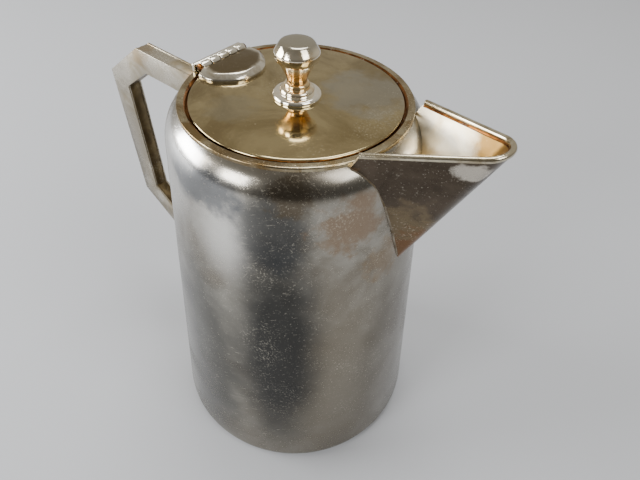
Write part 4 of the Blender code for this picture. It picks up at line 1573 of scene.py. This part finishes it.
# ---------------------------------------------------------------------------------------------
# Studio
# ---------------------------------------------------------------------------------------------
@dataclass
class Softbox:
    """A soft area light."""

    name: str
    place: Point
    aim: Point
    size: Pair
    power: float
    colour: str = "FFFFFF"

    def build(self) -> None:
        """Hang the light and turn it to its aim."""
        light = bpy.data.lights.new(self.name, "AREA")
        light.shape = "RECTANGLE"
        light.size, light.size_y = self.size
        light.energy = self.power
        light.color = linear(self.colour)[:3]
        lamp = bpy.data.objects.new(self.name, light)
        lamp.location = self.place
        along = Vector(self.aim) - Vector(self.place)
        lamp.rotation_euler = along.to_track_quat("-Z", "Y").to_euler()
        bpy.context.scene.collection.objects.link(lamp)


@dataclass
class Studio:
    """A pale floor, soft lights and the camera."""

    eye: Point = (0.1119438, -0.11557178, 0.24322487)
    right: Point = (0.78777582, 0.61503202, 0.03383601)
    up: Point = (-0.45843433, 0.54873404, 0.6990915)
    lens: float = 28.575
    sensor: float = 36.0
    floor_size: float = 4.0
    floor_colour: str = "AFB1B5"
    bright_side: Point = (-0.45, 0.62, 0.64)
    dim_colour: str = "6A6865"
    bright_colour: str = "C9C4BA"
    room_strength: float = 0.9

    def camera(self) -> None:
        """Stand the camera at its viewing angle."""
        data = bpy.data.cameras.new("camera")
        data.lens = self.lens
        data.sensor_width = self.sensor
        data.clip_start = 0.01
        eye = bpy.data.objects.new("camera", data)
        right, up = Vector(self.right), Vector(self.up)
        back = right.cross(up)
        turn = Matrix((right, up, back)).transposed().to_4x4()
        eye.matrix_world = Matrix.Translation(self.eye) @ turn
        bpy.context.scene.collection.objects.link(eye)
        bpy.context.scene.camera = eye

    def floor(self) -> None:
        """Lay the plain floor."""
        shape = bmesh.new()
        bmesh.ops.create_grid(shape, x_segments=1, y_segments=1, size=self.floor_size / 2)
        ground = mesh_object("floor", shape)
        material = bpy.data.materials.new("matt_paper")
        material.use_nodes = True
        shader = material.node_tree.nodes["Principled BSDF"]
        shader.inputs["Base Color"].default_value = linear(self.floor_colour)
        shader.inputs["Roughness"].default_value = 0.9
        ground.data.materials.append(material)

    def world(self) -> None:
        """A dim room, paler behind the pot where its lid looks, darker towards the eye."""
        world = bpy.data.worlds.new("room")
        world.use_nodes = True
        tree = world.node_tree
        tree.nodes.clear()
        place = add_node(tree, "ShaderNodeTexCoord").outputs["Generated"]
        facing = add_node(tree, "ShaderNodeVectorMath", {"operation": "DOT_PRODUCT"},
                          {1: self.bright_side}, {0: place}).outputs["Value"]
        level = add_node(tree, "ShaderNodeMapRange", {"interpolation_type": "SMOOTHSTEP"},
                         {1: -0.6, 2: 0.9, 3: 0.0, 4: 1.0}, {0: facing}).outputs[0]
        colour = add_node(tree, "ShaderNodeMix", {"data_type": "RGBA"},
                          {6: linear(self.dim_colour), 7: linear(self.bright_colour)},
                          {0: level}).outputs[2]
        back = add_node(tree, "ShaderNodeBackground", None, {"Strength": self.room_strength},
                        {0: colour})
        add_node(tree, "ShaderNodeOutputWorld", None, None, {0: back.outputs[0]})
        bpy.context.scene.world = world

    def lights(self) -> None:
        """Hang the lights."""
        middle = (0.0, 0.0, 0.10)
        for box in (Softbox("window", (-0.95, -0.60, 0.42), middle, (0.7, 0.5), 20.0),
                    Softbox("front", (-0.22, -1.05, 0.55), middle, (0.4, 0.4), 8.5),
                    Softbox("fill", (0.95, -0.02, 0.95), middle, (0.6, 0.6), 7.0),
                    Softbox("overhead", (-0.15, 0.35, 1.3), middle, (0.7, 0.7), 12.0)):
            box.build()

    def build(self) -> None:
        """Set everything up."""
        self.camera()
        self.floor()
        self.world()
        self.lights()


def main() -> None:
    """Build the studio and every part of the pot, in order."""
    logging.basicConfig(level=logging.INFO, format="%(message)s")
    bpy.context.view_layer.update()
    shop = Workshop(Layout.from_frame())
    Studio().build()
    body = PotBody()
    body.build(shop)
    MouthRing().build(shop)
    Spout().build(shop, body)
    Handle().build(shop, body)
    Hinge().build(shop)
    Lid().build(shop)
    Knob().build(shop)


if __name__ == "__main__":
    main()
